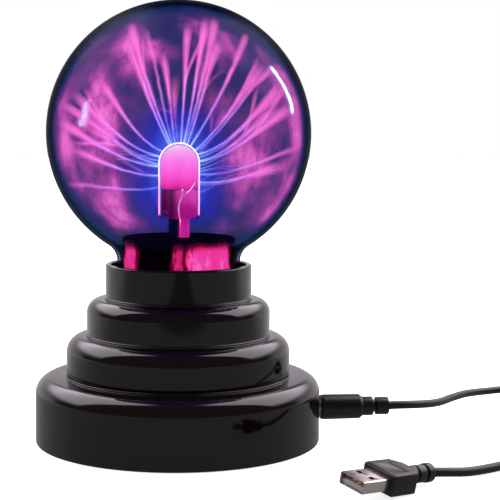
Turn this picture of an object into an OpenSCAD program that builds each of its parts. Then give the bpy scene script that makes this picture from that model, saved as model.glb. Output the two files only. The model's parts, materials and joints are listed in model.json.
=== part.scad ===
// Small plasma ball on a stepped round base, with its plug-in USB lead.
// Millimetres, +Z up. The origin is the centre of the footprint, on the surface it stands on.
// The power jack faces +X and the slide switch faces +Y.

/* [Globe] */
// Outside diameter of the glass globe
globe_d = 108; // [104:1:112]
// Height of the globe's centre
globe_z = 126.4; // [124:0.2:129]
// Thickness of the blown glass
glass_t = 1.2; // [0.8:0.1:1.6]
// Outside diameter of the globe's neck
neck_d = 50.6; // [49:0.2:51.4]
// Radius that blends the globe into its neck
neck_blend_r = 8; // [6:0.5:10]

/* [Stem] */
// Outside diameter of the stem's wide upper part
stem_d = 17; // [15:0.5:19]
// Outside diameter of the stem's narrow lower part
stem_neck_d = 10.9; // [10.5:0.1:12]
// Height of the top of the stem's dome
stem_top_z = 122.8; // [116:0.2:126]
// Height at which the stem narrows
stem_step_z = 90.4; // [86:0.2:96]
// Thickness of the stem's glass
stem_t = 0.9; // [0.7:0.1:1.1]
// Diameter of the rod that feeds the electrode
rod_d = 2.4; // [2:0.1:2.8]
// Outside diameter of the dark insulating sleeve
sleeve_d = 8.8; // [8:0.1:8.9]
// Height of the top of the insulating sleeve
sleeve_top_z = 103.6; // [100:0.2:104]

/* [Tiers and collar] */
// Diameter of the lower tier
tier_low_d = 92.2; // [90:0.2:94]
// Height of the lower tier's top
tier_low_z = 43.6; // [42:0.2:45]
// Shoulder radius of the lower tier
tier_low_r = 6.5; // [5:0.5:7.5]
// Diameter of the upper tier
tier_high_d = 75.6; // [74:0.2:77]
// Height of the upper tier's top
tier_high_z = 58.7; // [57:0.1:60]
// Shoulder radius of the upper tier
tier_high_r = 5.5; // [4:0.5:6]
// Outside diameter of the collar round the globe's neck
collar_d = 60.2; // [59:0.2:61]
// Height of the collar's rim
collar_z = 73; // [72:0.2:74]
// Radius that rounds the collar's rim
rim_r = 0.9; // [0.5:0.1:1]
// Wall thickness of the mouldings
wall_t = 2.2; // [2:0.1:2.4]
// Height of the small plinth round the foot of each tier
plinth_h = 0.8; // [0.6:0.1:1]
// How far each plinth stands out from its tier
plinth_out = 0.45; // [0.3:0.05:0.6]
// Height of the groove above the lowest plinth
groove_h = 0.5; // [0.3:0.1:0.8]

/* [Base] */
// Diameter of the base
base_d = 117.4; // [116:0.2:120]
// Height of the base's flat top
base_z = 26.9; // [26:0.1:28]
// Shoulder radius of the base
base_r = 6.5; // [5:0.5:7]
// How far the rubber feet stand out below the base
foot_out = 0.8; // [0.6:0.1:1.2]
// Diameter of each rubber foot
foot_d = 10; // [8:0.5:12]
// Thickness of the bottom plate
plate_t = 2.4; // [2.2:0.1:2.8]

/* [Power jack and plug] */
// Height of the jack's axis
jack_z = 11.6; // [11:0.1:13]
// Diameter of the plug's barrel
barrel_d = 5.5; // [5.5]
// Diameter of the hole in the barrel
barrel_bore_d = 2.1; // [2.1]
// Length of the barrel
barrel_l = 9.5; // [9:0.1:10]
// Space left between the base's wall and the plug's body
plug_gap = 1.4; // [1:0.1:2]
// Diameter of the plug's body
plug_d = 10.6; // [10:0.1:11]
// Length of the plug's body
plug_l = 18.3; // [17:0.1:19]

/* [Switch] */
// Height of the switch's knob
switch_z = 11; // [10:0.5:13]
// How far the switch's knob travels
switch_travel = 3; // [2:0.5:3]

/* [Lead] */
// Diameter of the lead
cord_d = 3.5; // [3.5]
// Mean radius of the coiled turns
coil_r = 21; // [21]
// Height of the two layers of coiled turns
coil_h = 7.2; // [7.2]

/* [USB plug] */
// Width of the plug's steel shell
usb_w = 12; // [12]
// Thickness of the plug's steel shell
usb_t = 4.5; // [4.5]
// Length of shell that stands out of the grip
usb_l = 12.6; // [12:0.1:14]
// Width of the moulded grip
grip_w = 15.6; // [15:0.1:16]
// Thickness of the moulded grip
grip_t = 8; // [7.5:0.1:8]
// Length of the moulded grip
grip_l = 12; // [11:0.5:14]

/* [Hidden] */
$fn = 96;
// Overshoot of every cutting tool
cut = 0.5;
// Clearance between parts that touch, and between parts that slide
gap = 0.1;
fit_gap = 0.05;

// Glass
globe_r = globe_d / 2;
neck_r = neck_d / 2;
neck_foot_z = 62;
stem_r = stem_d / 2;
stem_neck_r = stem_neck_d / 2;
stem_dome_z = stem_top_z - stem_r;
flare_r = neck_r - glass_t - gap;
flare_t = 1.2;
flare_blend_r = 4;
shoulder_r = 2.5;

// Mouldings
housing_r = base_d / 2;
low_r = tier_low_d / 2;
high_r = tier_high_d / 2;
collar_r = collar_d / 2;
bore_r = 44;
lip_top_z = base_z + plinth_h;
spigot_r = bore_r - 0.2;
spigot_foot_z = 22.7;
shelf_z = neck_foot_z - gap;
shelf_t = 2.2;
shelf_hole_r = 16;
floor_z = foot_out + 0.2;
plate_top_z = floor_z + plate_t;
plate_r = housing_r - wall_t - 0.3;
case_screw_r = 50;
case_screw_angles = [45, 135, 225, 315];
tower_screw_r = 39;
tower_screw_angles = [30, 150, 270];
lug_z = 20.4;
lug_t = 2.2;
foot_place_r = 45;

// Circuit board and what stands on it
board_size = [68, 50, 1.6];
board_centre = [0, -1];
board_z = 7.4;
board_top_z = board_z + board_size[2];
board_hole = [29, 21];
core_centre = [-20, 0];
core_size = [28, 11, 24];
core_leg_r = 3.8;
core_yoke = 4;
sink_centre = [19, 10];
fin_gap = 3;

// Jack and plug
jack_face_x = housing_r - 0.3;
jack_body = [14, 9, 11];
jack_collar_r = 4.6;
plug_face_x = housing_r + plug_gap;
plug_tail_x = plug_face_x + plug_l;
relief_l = 11.2;
relief_ring_l = 4.3;
relief_end_x = plug_tail_x + relief_l;

// Lead: where its seen stretches lie, and the coil that holds the rest
coil_centre = [189, 54];
coil_half_w = 6.4;
coil_foot_z = 0.7;
cord_out_points = [
    [relief_end_x, 0, jack_z], [94, 0.2, 11.7], [99.4, 1.8, 11.4], [105, 4.8, 10.8],
    [110.6, 9.4, 10], [116.2, 16, 9], [121.4, 24, 8], [126.6, 32.4, 7.2], [132.4, 41.2, 6.3],
    [139, 50.2, 5.4], [146.6, 58.8, 4.3], [155.6, 66.4, 3.3], [166.6, 72.8, 2.7],
    [179.4, 77.6, 2.6]
];
cord_back_points = [
    [210.6, 41.6, 6], [207, 34.4, 5.2], [203.2, 27, 3.6], [199, 19.4, 2.2], [194, 11.4, 1.8],
    [188, 2.4, 1.8], [181.2, -7.4, 1.8], [173.4, -17.6, 1.8], [164.6, -28, 1.8],
    [154.8, -38.2, 1.8], [144, -47.8, 1.8], [132.8, -56.4, 1.8], [121.6, -63.8, 1.8],
    [110.8, -70.4, 1.9], [100.8, -75.8, 2.4], [92.6, -79.2, 3.4], [84.9, -81.5, 4.2]
];

// USB plug: the nose's centre, and how the plug lies
usb_nose = [51.3, -102.5, 6.95];
usb_turn = [9, 4, 32];
grip_taper_l = 4.6;
usb_relief_l = 10.5;
usb_relief_r = 3.6;
usb_wall = 0.35;

// ---------- shapes that repeat ----------

// Tube or washer between two heights
module ring(outer_r, inner_r, z0, z1) {
    translate([0, 0, z0]) difference() {
        cylinder(h = z1 - z0, r = outer_r);
        translate([0, 0, -cut]) cylinder(h = z1 - z0 + 2 * cut, r = inner_r);
    }
}

// Half outline of a step with a rounded shoulder
module step_2d(r, z0, z1, shoulder) {
    translate([0, z0]) square([r, z1 - shoulder - z0]);
    translate([0, z0]) square([r - shoulder, z1 - z0]);
    translate([r - shoulder, z1 - shoulder]) circle(r = shoulder);
}

// Half outline of a plinth with a rounded top edge
module plinth_2d(r, z0) {
    step_2d(r + plinth_out, z0 - 0.6, z0 + plinth_h, 0.35);
}

// Half outline of a globe that blends into its neck
module globe_2d(r, r_neck, blend, foot_z) {
    blend_z = globe_z - sqrt(pow(r + blend, 2) - pow(r_neck + blend, 2));
    intersection() {
        translate([0, foot_z]) square([r + cut, globe_z + r + cut - foot_z]);
        union() {
            translate([0, globe_z]) circle(r = r);
            translate([0, foot_z]) square([r_neck, globe_z - foot_z]);
            difference() {
                polygon([[0, blend_z], [r_neck + blend, blend_z], [0, globe_z]]);
                translate([r_neck + blend, blend_z]) circle(r = blend);
            }
        }
    }
}

// Half outline of the stem: dome, wide part, step and narrow part
module stem_2d(inset, foot_z) {
    r = stem_r - inset;
    low = stem_step_z + inset;
    corner = shoulder_r - inset;
    intersection() {
        translate([0, foot_z]) square([r + cut, stem_top_z + cut - foot_z]);
        union() {
            translate([0, stem_dome_z]) circle(r = r);
            translate([0, low + corner]) square([r, stem_dome_z - low - corner]);
            translate([0, low]) square([r - corner, corner + cut]);
            translate([r - corner, low + corner]) circle(r = corner);
            translate([0, foot_z]) square([stem_neck_r - inset, low + cut - foot_z]);
        }
    }
}

// Cross-headed screw that points up, its head's seat at z = 0
module screw(head_r, head_h, shank_r, length) {
    difference() {
        union() {
            translate([0, 0, -head_h]) cylinder(h = head_h, r = head_r);
            cylinder(h = length, r = shank_r);
        }
        for (turn = [0, 90])
            rotate([0, 0, turn])
                translate([-head_r * 0.6, -head_r * 0.12, -head_h - cut])
                    cube([head_r * 1.2, head_r * 0.24, head_h * 0.5 + cut]);
    }
}

// Copies at one radius and a list of angles
module around(radius, angles) {
    for (a = angles)
        rotate([0, 0, a]) translate([radius, 0, 0]) children();
}

// Box with four rounded upright edges
module soft_box(size, r) {
    union() {
        translate([-size[0] / 2 + r, -size[1] / 2, 0]) cube([size[0] - 2 * r, size[1], size[2]]);
        translate([-size[0] / 2, -size[1] / 2 + r, 0]) cube([size[0], size[1] - 2 * r, size[2]]);
        for (x = [-1, 1], y = [-1, 1])
            translate([x * (size[0] / 2 - r), y * (size[1] / 2 - r), 0])
                cylinder(h = size[2], r = r);
    }
}

// Point on the smooth curve through four points, between the middle two
function curve_point(a, b, c, d, t) =
    0.5 * (2 * b + (c - a) * t + (2 * a - 5 * b + 4 * c - d) * t * t
        + (3 * b - a - 3 * c + d) * t * t * t);

function curve(p, parts) = [
    for (i = [0 : len(p) - 2], s = [0 : parts - 1])
        curve_point(p[max(i - 1, 0)], p[i], p[i + 1], p[min(i + 2, len(p) - 1)], s / parts),
    p[len(p) - 1]
];

// Round tube of one polyhedron along a list of points
module sweep(points, r, up = [0, 0, 1], sides = 8) {
    n = len(points);
    function unit(v) = v / norm(v);
    function heading(i) = unit(points[min(i + 1, n - 1)] - points[max(i - 1, 0)]);
    rings = [
        for (i = [0 : n - 1])
            let (side = unit(cross(heading(i), up)), top = cross(side, heading(i)))
                for (k = [0 : sides - 1])
                    points[i] + r * (side * cos(360 * k / sides) + top * sin(360 * k / sides))
    ];
    faces = concat(
        [[for (k = [0 : sides - 1]) k]],
        [[for (k = [0 : sides - 1]) n * sides - 1 - k]],
        [for (i = [0 : n - 2], k = [0 : sides - 1])
            [i * sides + k, (i + 1) * sides + k, (i + 1) * sides + (k + 1) % sides,
             i * sides + (k + 1) % sides]]
    );
    polyhedron(points = rings, faces = faces, convexity = 6);
}

// ---------- case ----------

// Wide lower moulding, with the lip that the tower stands on
module base_housing() {
    color("#1b1b1f") difference() {
        union() {
            rotate_extrude() difference() {
                union() {
                    step_2d(housing_r, foot_out, base_z, base_r);
                    plinth_2d(low_r, base_z);
                }
                step_2d(housing_r - wall_t, foot_out - cut, base_z - wall_t, base_r - wall_t);
                translate([-cut, 0]) square([bore_r + cut, collar_z]);
            }
            around(case_screw_r, case_screw_angles)
                translate([0, 0, plate_top_z + gap])
                    cylinder(h = base_z - wall_t + cut - plate_top_z, r = 3.4);
            around(tower_screw_r, tower_screw_angles) {
                translate([-3.5, -4, lug_z]) cube([11.5, 8, lug_t]);
                translate([5.6, -4, lug_z]) cube([2.4, 8, base_z - wall_t + cut - lug_z]);
            }
        }
        around(case_screw_r, case_screw_angles)
            translate([0, 0, plate_top_z - cut]) cylinder(h = 13, r = 1.3);
        around(tower_screw_r, tower_screw_angles)
            translate([0, 0, lug_z - cut]) cylinder(h = lug_t + 2 * cut, r = 1.5);
        translate([housing_r - 6, 0, jack_z]) rotate([0, 90, 0])
            cylinder(h = 12, r = jack_collar_r + fit_gap);
        translate([-4.5, housing_r - 4, switch_z - 2.2]) cube([9, 8, 4.4]);
    }
}

// Tall moulding of both tiers and the collar
module tier_tower() {
    color("#1b1b1f") difference() {
        union() {
            rotate_extrude() difference() {
                union() {
                    step_2d(low_r, lip_top_z + groove_h, tier_low_z, tier_low_r);
                    translate([0, lip_top_z + gap / 2]) square([low_r - 0.7, groove_h + cut]);
                    translate([0, spigot_foot_z])
                        square([spigot_r, lip_top_z + groove_h + cut - spigot_foot_z]);
                    plinth_2d(high_r, tier_low_z);
                    step_2d(high_r, tier_low_z - cut, tier_high_z, tier_high_r);
                    plinth_2d(collar_r, tier_high_z);
                    step_2d(collar_r, tier_high_z - cut, collar_z, rim_r);
                }
                translate([0, spigot_foot_z - cut])
                    square([spigot_r - wall_t, lip_top_z + 2 + 2 * cut - spigot_foot_z]);
                step_2d(low_r - wall_t - 0.6, lip_top_z + 1.8, tier_low_z - wall_t,
                    tier_low_r - wall_t);
                step_2d(high_r - wall_t, tier_low_z - wall_t - cut, tier_high_z - wall_t,
                    tier_high_r - wall_t);
                translate([0, tier_high_z - wall_t - cut])
                    square([collar_r - 2 * wall_t, shelf_z - shelf_t - tier_high_z + wall_t + cut]);
                translate([0, shelf_z - shelf_t - cut])
                    square([shelf_hole_r, shelf_t + 2 * cut]);
                translate([0, shelf_z]) square([collar_r - wall_t, collar_z + cut - shelf_z]);
            }
            around(tower_screw_r, tower_screw_angles)
                translate([0, 0, spigot_foot_z + gap]) cylinder(h = 13.4, r = 3.2);
        }
        around(tower_screw_r, tower_screw_angles)
            translate([0, 0, spigot_foot_z - cut]) cylinder(h = 11 + cut, r = 1.25);
    }
}

// Round plate that closes the base, with feet recesses, posts for the board and air slots
module bottom_plate() {
    color("#232327") difference() {
        union() {
            translate([0, 0, floor_z]) cylinder(h = plate_t, r = plate_r);
            for (x = [-1, 1], y = [-1, 1])
                translate([board_centre[0] + x * board_hole[0],
                        board_centre[1] + y * board_hole[1], plate_top_z - cut])
                    cylinder(h = board_z - plate_top_z + cut, r = 3.2);
        }
        for (x = [-1, 1], y = [-1, 1])
            translate([board_centre[0] + x * board_hole[0],
                    board_centre[1] + y * board_hole[1], floor_z + 0.8])
                cylinder(h = board_z, r = 1);
        around(case_screw_r, case_screw_angles) {
            translate([0, 0, floor_z - cut]) cylinder(h = plate_t + 2 * cut, r = 1.5);
            translate([0, 0, floor_z - cut]) cylinder(h = 1.2 + cut, r = 2.8);
        }
        around(foot_place_r, [0, 90, 180, 270])
            translate([0, 0, floor_z - cut]) cylinder(h = 1 + cut, r = foot_d / 2 + fit_gap);
        for (x = [-15 : 5 : 15])
            translate([x - 0.8, -7, floor_z - cut]) cube([1.6, 14, plate_t + 2 * cut]);
    }
}

module rubber_feet() {
    color("#101012") around(foot_place_r, [0, 90, 180, 270]) {
        translate([0, 0, 0.3]) cylinder(h = floor_z + 0.65, r = foot_d / 2);
        cylinder(h = 0.31, r = foot_d / 2 - 0.3);
    }
}

module base_screws() {
    color("silver") around(case_screw_r, case_screw_angles)
        translate([0, 0, floor_z + 1.2 - gap / 2]) screw(2.6, 1, 1.25, 10);
}

module tower_screws() {
    color("silver") around(tower_screw_r, tower_screw_angles)
        translate([0, 0, lug_z - gap / 2]) screw(2.6, 1.3, 1.2, 11);
}

// ---------- glass ----------

module glass_globe() {
    color([0.75, 0.8, 0.95, 0.35]) rotate_extrude() difference() {
        globe_2d(globe_r, neck_r, neck_blend_r, neck_foot_z);
        globe_2d(globe_r - glass_t, neck_r - glass_t, neck_blend_r + glass_t, neck_foot_z - cut);
    }
}

// Re-entrant tube whose flared foot closes the neck
module stem_tube() {
    flare_top_z = neck_foot_z + flare_t;
    color([0.85, 0.6, 0.8, 0.35]) rotate_extrude() difference() {
        union() {
            stem_2d(0, neck_foot_z);
            translate([0, neck_foot_z]) square([flare_r, flare_t]);
            difference() {
                translate([0, neck_foot_z])
                    square([stem_neck_r + flare_blend_r, flare_t + flare_blend_r]);
                translate([stem_neck_r + flare_blend_r, flare_top_z + flare_blend_r])
                    circle(r = flare_blend_r);
            }
        }
        stem_2d(stem_t, neck_foot_z - cut);
    }
}

// Sealed stub that the globe was emptied and filled through
module exhaust_tip() {
    color([0.85, 0.8, 0.9, 0.5]) translate([11.5, 0, 0]) {
        translate([0, 0, 56]) cylinder(h = neck_foot_z - 56 - fit_gap, r = 2);
        translate([0, 0, 56]) sphere(r = 2);
    }
}

// Conductive wool packed in the stem's dome
module electrode_wool() {
    wool_r = stem_r - stem_t - gap;
    color("#d96fb4") rotate_extrude() intersection() {
        translate([0, sleeve_top_z + gap]) square([wool_r, stem_top_z - sleeve_top_z]);
        union() {
            translate([0, stem_dome_z]) circle(r = wool_r);
            translate([0, sleeve_top_z]) square([wool_r, stem_dome_z - sleeve_top_z]);
        }
    }
}

module contact_rod() {
    color("#b08d4a") translate([0, 0, 58]) cylinder(h = sleeve_top_z - 58, r = rod_d / 2);
}

module stem_insulator() {
    color("#1a1018") ring(sleeve_d / 2, rod_d / 2 + fit_gap, 60, sleeve_top_z);
}

// Soft ring that holds the globe's neck in the collar
module neck_gasket() {
    color("#151515") ring(collar_r - wall_t - fit_gap, neck_r + fit_gap, 64.4, 70);
}

module globe_adhesive() {
    color("#d8d4c8") ring(collar_r - wall_t - fit_gap, neck_r + fit_gap, neck_foot_z, 64.3);
}

// ---------- high-voltage circuit ----------

module hv_lead() {
    color("#b3222b") sweep(curve([
        [-20, 9.6, 20], [-19, 12, 20.4], [-15, 13, 22], [-8, 10, 26], [-2, 4, 32],
        [0, 0.4, 40], [0, 0, 48], [0, 0, 57.9]], 3), 1.1, [1, 0, 0]);
}

module circuit_board() {
    color("#1f6b3a") difference() {
        translate([board_centre[0], board_centre[1], board_z])
            soft_box(board_size, 2);
        for (x = [-1, 1], y = [-1, 1])
            translate([board_centre[0] + x * board_hole[0],
                    board_centre[1] + y * board_hole[1], board_z - cut])
                cylinder(h = board_size[2] + 2 * cut, r = 1.2);
    }
}

module board_screws() {
    color("silver") for (x = [-1, 1], y = [-1, 1])
        translate([board_centre[0] + x * board_hole[0],
                board_centre[1] + y * board_hole[1], board_top_z + gap / 2])
            rotate([180, 0, 0]) screw(2.2, 1.3, 0.95, 5);
}

// Ferrite frame with a round middle leg
module flyback_core() {
    foot = board_top_z + gap;
    color("#3b3b40") translate([core_centre[0], core_centre[1], foot]) {
        difference() {
            translate([-core_size[0] / 2, -core_size[1] / 2, 0]) cube(core_size);
            translate([-core_size[0] / 2 + core_yoke, -core_size[1] / 2 - cut, core_yoke])
                cube([core_size[0] - 2 * core_yoke, core_size[1] + 2 * cut,
                    core_size[2] - 2 * core_yoke]);
        }
        translate([0, 0, core_yoke - cut])
            cylinder(h = core_size[2] - 2 * core_yoke + 2 * cut, r = core_leg_r);
    }
}

// Everything below is wound round the core's middle leg
module on_leg() {
    translate([core_centre[0], core_centre[1], board_top_z + gap + core_yoke]) children();
}

leg_l = core_size[2] - 2 * core_yoke;
flange_r = core_size[0] / 2 - core_yoke - 0.3;
split_z = leg_l * 0.62;
spool_r = core_leg_r + 1;

module flyback_bobbin() {
    color("#e6dfc8") on_leg() difference() {
        union() {
            cylinder(h = leg_l - gap, r = spool_r);
            for (z = [gap / 2, split_z, leg_l - 1.2])
                translate([0, 0, z]) cylinder(h = 1.1, r = flange_r);
        }
        translate([0, 0, -cut]) cylinder(h = leg_l + 2 * cut, r = core_leg_r + gap);
        translate([0, 0, -cut]) cylinder(h = cut + gap / 2, r = flange_r);
    }
}

module flyback_secondary() {
    color("#b5541f") on_leg()
        ring(flange_r - 0.8, spool_r + fit_gap, gap + 1.1, split_z - fit_gap);
}

module flyback_primary() {
    color("#c7772e") on_leg()
        ring(flange_r - 2.4, spool_r + fit_gap, split_z + 1.1 + fit_gap, leg_l - 1.2 - fit_gap);
}

module driver_transistor() {
    color("#1c1c1e") translate([sink_centre[0] - 5, sink_centre[1] - 9.2, board_top_z + 3.4]) {
        translate([0, 0, 0]) cube([10, 4.5, 9]);
        difference() {
            translate([0, 3.2, 8.9]) cube([10, 1.3, 6.4]);
            translate([5, 2, 12.2]) rotate([-90, 0, 0]) cylinder(h = 4, r = 1.8);
        }
        for (x = [2.3, 4.8, 7.3])
            translate([x - 0.4, 2.2, -3.3]) cube([0.8, 0.5, 3.4]);
    }
}

// Finned plate that the transistor is screwed to
module heat_sink() {
    sink_h = 20;
    color("#9a9da3") translate([sink_centre[0], sink_centre[1], board_top_z + gap]) difference() {
        union() {
            translate([-11, -4.6, 0]) cube([22, 2.2, sink_h]);
            for (x = [-10.2 : fin_gap : 10])
                translate([x - 0.6, -2.5, 0]) cube([1.2, 7, sink_h]);
        }
        translate([0, -6, 15.5]) rotate([-90, 0, 0]) cylinder(h = 4.6, r = 1.3);
    }
}

module transistor_screw() {
    color("silver")
        translate([sink_centre[0], sink_centre[1] - 6.05, board_top_z + 15.6])
            rotate([-90, 0, 0]) screw(2.4, 1.4, 1.2, 3.4);
}

module input_capacitor() {
    color("#20304f") translate([22, -13, board_top_z + gap]) difference() {
        cylinder(h = 12, r = 5);
        translate([0, 0, 1.8]) rotate_extrude() translate([5.3, 0]) circle(r = 0.6, $fn = 24);
    }
}

module film_capacitors() {
    color("#9c2f22") for (x = [2, 10])
        translate([x, -17, board_top_z + gap]) soft_box([5.5, 11, 9], 1);
}

// Four axial resistors that lie flat on their leads
module resistors() {
    color("#c9b083") for (y = [-8, -4, 12, 16])
        translate([-1, y, board_top_z + 1.4]) rotate([0, 90, 0]) {
            translate([0, 0, -3]) cylinder(h = 6, r = 1.1);
            translate([0, 0, -5]) cylinder(h = 10, r = 0.3);
        }
}

module timer_chip() {
    color("#18181a") translate([8.6, -1.6, board_top_z + 0.8]) {
        translate([-3.2, -4.9, 0]) cube([6.4, 9.8, 3.4]);
        for (x = [-1, 1], y = [-3.75 : 2.5 : 3.75])
            translate([x * 3.6 - 0.5, y - 0.35, -0.7]) cube([1, 0.7, 2.4]);
    }
}

// ---------- jack, switch and wires ----------

module dc_jack_body() {
    color("#161618") translate([0, 0, jack_z]) difference() {
        union() {
            translate([jack_face_x - 2.6 - jack_body[0], -jack_body[1] / 2, -jack_body[2] / 2])
                cube(jack_body);
            translate([jack_face_x - 3, 0, 0]) rotate([0, 90, 0])
                cylinder(h = 3, r = jack_collar_r);
        }
        translate([jack_face_x - 11, 0, 0]) rotate([0, 90, 0])
            cylinder(h = 12, r = barrel_d / 2 + fit_gap);
    }
}

module dc_jack_pin() {
    color("silver") translate([jack_face_x - 10.95, 0, jack_z]) rotate([0, 90, 0])
        cylinder(h = 9.2, r = barrel_bore_d / 2 - 0.1);
}

module switch_body() {
    color("#1d1d20") difference() {
        translate([-6.5, housing_r - 10.2, switch_z - 3.4]) cube([13, 6, 6.8]);
        translate([-switch_travel / 2 - 2.2, housing_r - 6.2, switch_z - 1.6])
            cube([switch_travel + 4.4, 4, 3.2]);
    }
}

module switch_knob() {
    color("#2a2a2e") translate([switch_travel / 2 - 1.8, housing_r - 6, switch_z - 1.3]) {
        cube([3.6, 5, 2.6]);
        for (x = [0.5, 1.5, 2.5])
            translate([x, 4.9, 0]) cube([0.6, 0.5, 2.6]);
    }
}

module wire_red() {
    color("#c0392b") sweep(curve([
        [41.2, 2.4, 13], [38, 3, 13.4], [35, 8, 13], [33, 22, 12], [26, 34, 11], [14, 42, 11],
        [7, 46, 11], [6, 48.3, 11]], 2), 0.7);
}

module wire_black() {
    color("#222226") sweep(curve([
        [41.2, -2.4, 13], [38, -3, 13.4], [35, -4, 13], [32, -5, 12], [30.2, -5, 10.4],
        [30, -5, 9.3]], 2), 0.7, [0, 1, 0]);
}

// ---------- plug at the base ----------

module on_plug_axis(x) {
    translate([x, 0, jack_z]) rotate([0, 90, 0]) children();
}

module dc_plug_barrel() {
    color("silver") on_plug_axis(plug_face_x - barrel_l) difference() {
        cylinder(h = barrel_l + 3, r = barrel_d / 2);
        translate([0, 0, -cut]) cylinder(h = barrel_l + 3 + 2 * cut, r = 1.9);
    }
}

module dc_plug_insulator() {
    color("#101013") on_plug_axis(plug_face_x - barrel_l + 0.1) difference() {
        cylinder(h = barrel_l + 2.4, r = 1.85);
        translate([0, 0, -cut]) cylinder(h = barrel_l + 2 * cut, r = barrel_bore_d / 2 + 0.05);
    }
}

// Moulded body with a chamfered tail
module dc_plug_body() {
    color("#17171b") on_plug_axis(plug_face_x) difference() {
        rotate_extrude() polygon([
            [0, 0], [plug_d / 2 - 0.4, 0], [plug_d / 2, 0.4], [plug_d / 2 - 0.1, plug_l - 1.6],
            [plug_d / 2 - 1.3, plug_l], [0, plug_l]]);
        translate([0, 0, -cut]) cylinder(h = 3.1 + cut, r = barrel_d / 2 + fit_gap);
    }
}

// Two stiff rings on a thin core, so that the lead can bend
module dc_plug_relief() {
    color("#17171b") on_plug_axis(plug_tail_x) {
        cylinder(h = relief_ring_l, r = 4);
        cylinder(h = relief_l, r = 2.3);
        translate([0, 0, relief_ring_l + 1.4])
            cylinder(h = relief_l - relief_ring_l - 1.4, r = 3.75);
    }
}

// ---------- lead ----------

module cord_run_out() {
    color("#1c1a1e") sweep(cord_out_points, cord_d / 2);
}

module cord_coil() {
    color("#1c1a1e") translate([coil_centre[0], coil_centre[1], 0])
        ring(coil_r + coil_half_w, coil_r - coil_half_w, coil_foot_z, coil_foot_z + coil_h);
}

// Strap round the coiled turns, its tab pointing outwards
module cord_tie() {
    strap_t = 0.6;
    strap_w = 5;
    inner = coil_r - coil_half_w - 0.4;
    outer = coil_r + coil_half_w + gap;
    color("#0e0e10") translate([coil_centre[0], coil_centre[1], 0]) rotate([0, 0, 15]) {
        difference() {
            translate([inner - strap_t, -strap_w / 2, 0])
                cube([outer - inner + 2 * strap_t, strap_w, coil_h + 2 * strap_t + 0.2]);
            translate([inner, -strap_w, strap_t])
                cube([outer - inner, 2 * strap_w, coil_h + 0.2]);
        }
        translate([outer + strap_t - 0.01, -strap_w / 2, 1.2]) cube([5, strap_w, 1.2]);
    }
}

module cord_run_back() {
    color("#1c1a1e") sweep(cord_back_points, cord_d / 2);
}

// ---------- plug at the far end ----------

// The plug's own axis runs along +X from its nose
module on_usb() {
    translate(usb_nose) rotate(usb_turn) children();
}

module usb_plug_shell() {
    color("#b9b2b0") on_usb() difference() {
        translate([0, -usb_w / 2, -usb_t / 2]) cube([usb_l + 4, usb_w, usb_t]);
        translate([-cut, -usb_w / 2 + usb_wall, -usb_t / 2 + usb_wall])
            cube([usb_l + 5, usb_w - 2 * usb_wall, usb_t - 2 * usb_wall]);
        for (y = [-3, 3])
            translate([5.2, y - 1.25, -usb_t / 2 - cut]) cube([2.2, 2.5, usb_t + 2 * cut]);
    }
}

module usb_plug_tongue() {
    color("#e8e4e4") on_usb()
        translate([0.8, -usb_w / 2 + usb_wall + fit_gap, -usb_t / 2 + usb_wall + fit_gap])
            cube([usb_l + 3, usb_w - 2 * usb_wall - gap, 1.75]);
}

module usb_contacts() {
    color("#c9a040") on_usb() for (y = [-3.5, -1, 1, 3.5])
        translate([1.6, y - 0.5, -usb_t / 2 + usb_wall + fit_gap + 1.75])
            cube([7.6, 1, 0.2]);
}

// Outline of the grip across its length, with bevelled edges
module grip_2d(w, t, bevel) {
    polygon([
        [-w / 2 + bevel, -t / 2], [w / 2 - bevel, -t / 2], [w / 2, -t / 2 + bevel],
        [w / 2, t / 2 - bevel], [w / 2 - bevel, t / 2], [-w / 2 + bevel, t / 2],
        [-w / 2, t / 2 - bevel], [-w / 2, -t / 2 + bevel]]);
}

module usb_plug_body() {
    color("#1f1d22") on_usb() difference() {
        union() {
            translate([usb_l, 0, 0]) rotate([90, 0, 90])
                linear_extrude(grip_l) grip_2d(grip_w, grip_t, 0.9);
            hull() {
                translate([usb_l + grip_l - 0.1, 0, 0]) rotate([90, 0, 90])
                    linear_extrude(0.1) grip_2d(grip_w, grip_t, 0.9);
                translate([usb_l + grip_l + grip_taper_l - 0.1, 0, 0]) rotate([90, 0, 90])
                    linear_extrude(0.1) grip_2d(7.6, 6.6, 1.6);
            }
        }
        translate([usb_l - cut, -usb_w / 2 - fit_gap, -usb_t / 2 - fit_gap])
            cube([4.1 + cut, usb_w + gap, usb_t + gap]);
    }
}

// Ringed sleeve where the lead leaves the grip
module usb_plug_relief() {
    color("#1f1d22") on_usb() translate([usb_l + grip_l + grip_taper_l, 0, 0])
        rotate([0, 90, 0]) {
            cylinder(h = usb_relief_l, r = 2.6);
            cylinder(h = 6.4, r = 3.3);
            translate([0, 0, 7.3]) cylinder(h = usb_relief_l - 7.3, r = usb_relief_r);
        }
}

base_housing();
tier_tower();
bottom_plate();
rubber_feet();
base_screws();
tower_screws();
glass_globe();
stem_tube();
exhaust_tip();
electrode_wool();
contact_rod();
stem_insulator();
neck_gasket();
globe_adhesive();
hv_lead();
circuit_board();
board_screws();
flyback_core();
flyback_bobbin();
flyback_secondary();
flyback_primary();
driver_transistor();
heat_sink();
transistor_screw();
input_capacitor();
film_capacitors();
resistors();
timer_chip();
dc_jack_body();
dc_jack_pin();
switch_body();
switch_knob();
wire_red();
wire_black();
dc_plug_barrel();
dc_plug_insulator();
dc_plug_body();
dc_plug_relief();
cord_run_out();
cord_coil();
cord_tie();
cord_run_back();
usb_plug_body();
usb_plug_relief();
usb_plug_shell();
usb_plug_tongue();
usb_contacts();
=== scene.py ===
"""Plasma ball with its lead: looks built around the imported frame."""
import json
import math
import random

import bmesh
import bpy
from bpy.props import FloatProperty, FloatVectorProperty, IntProperty, PointerProperty
from bpy.types import Operator, Panel, PropertyGroup
from mathutils import Euler, Matrix, Vector

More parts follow.
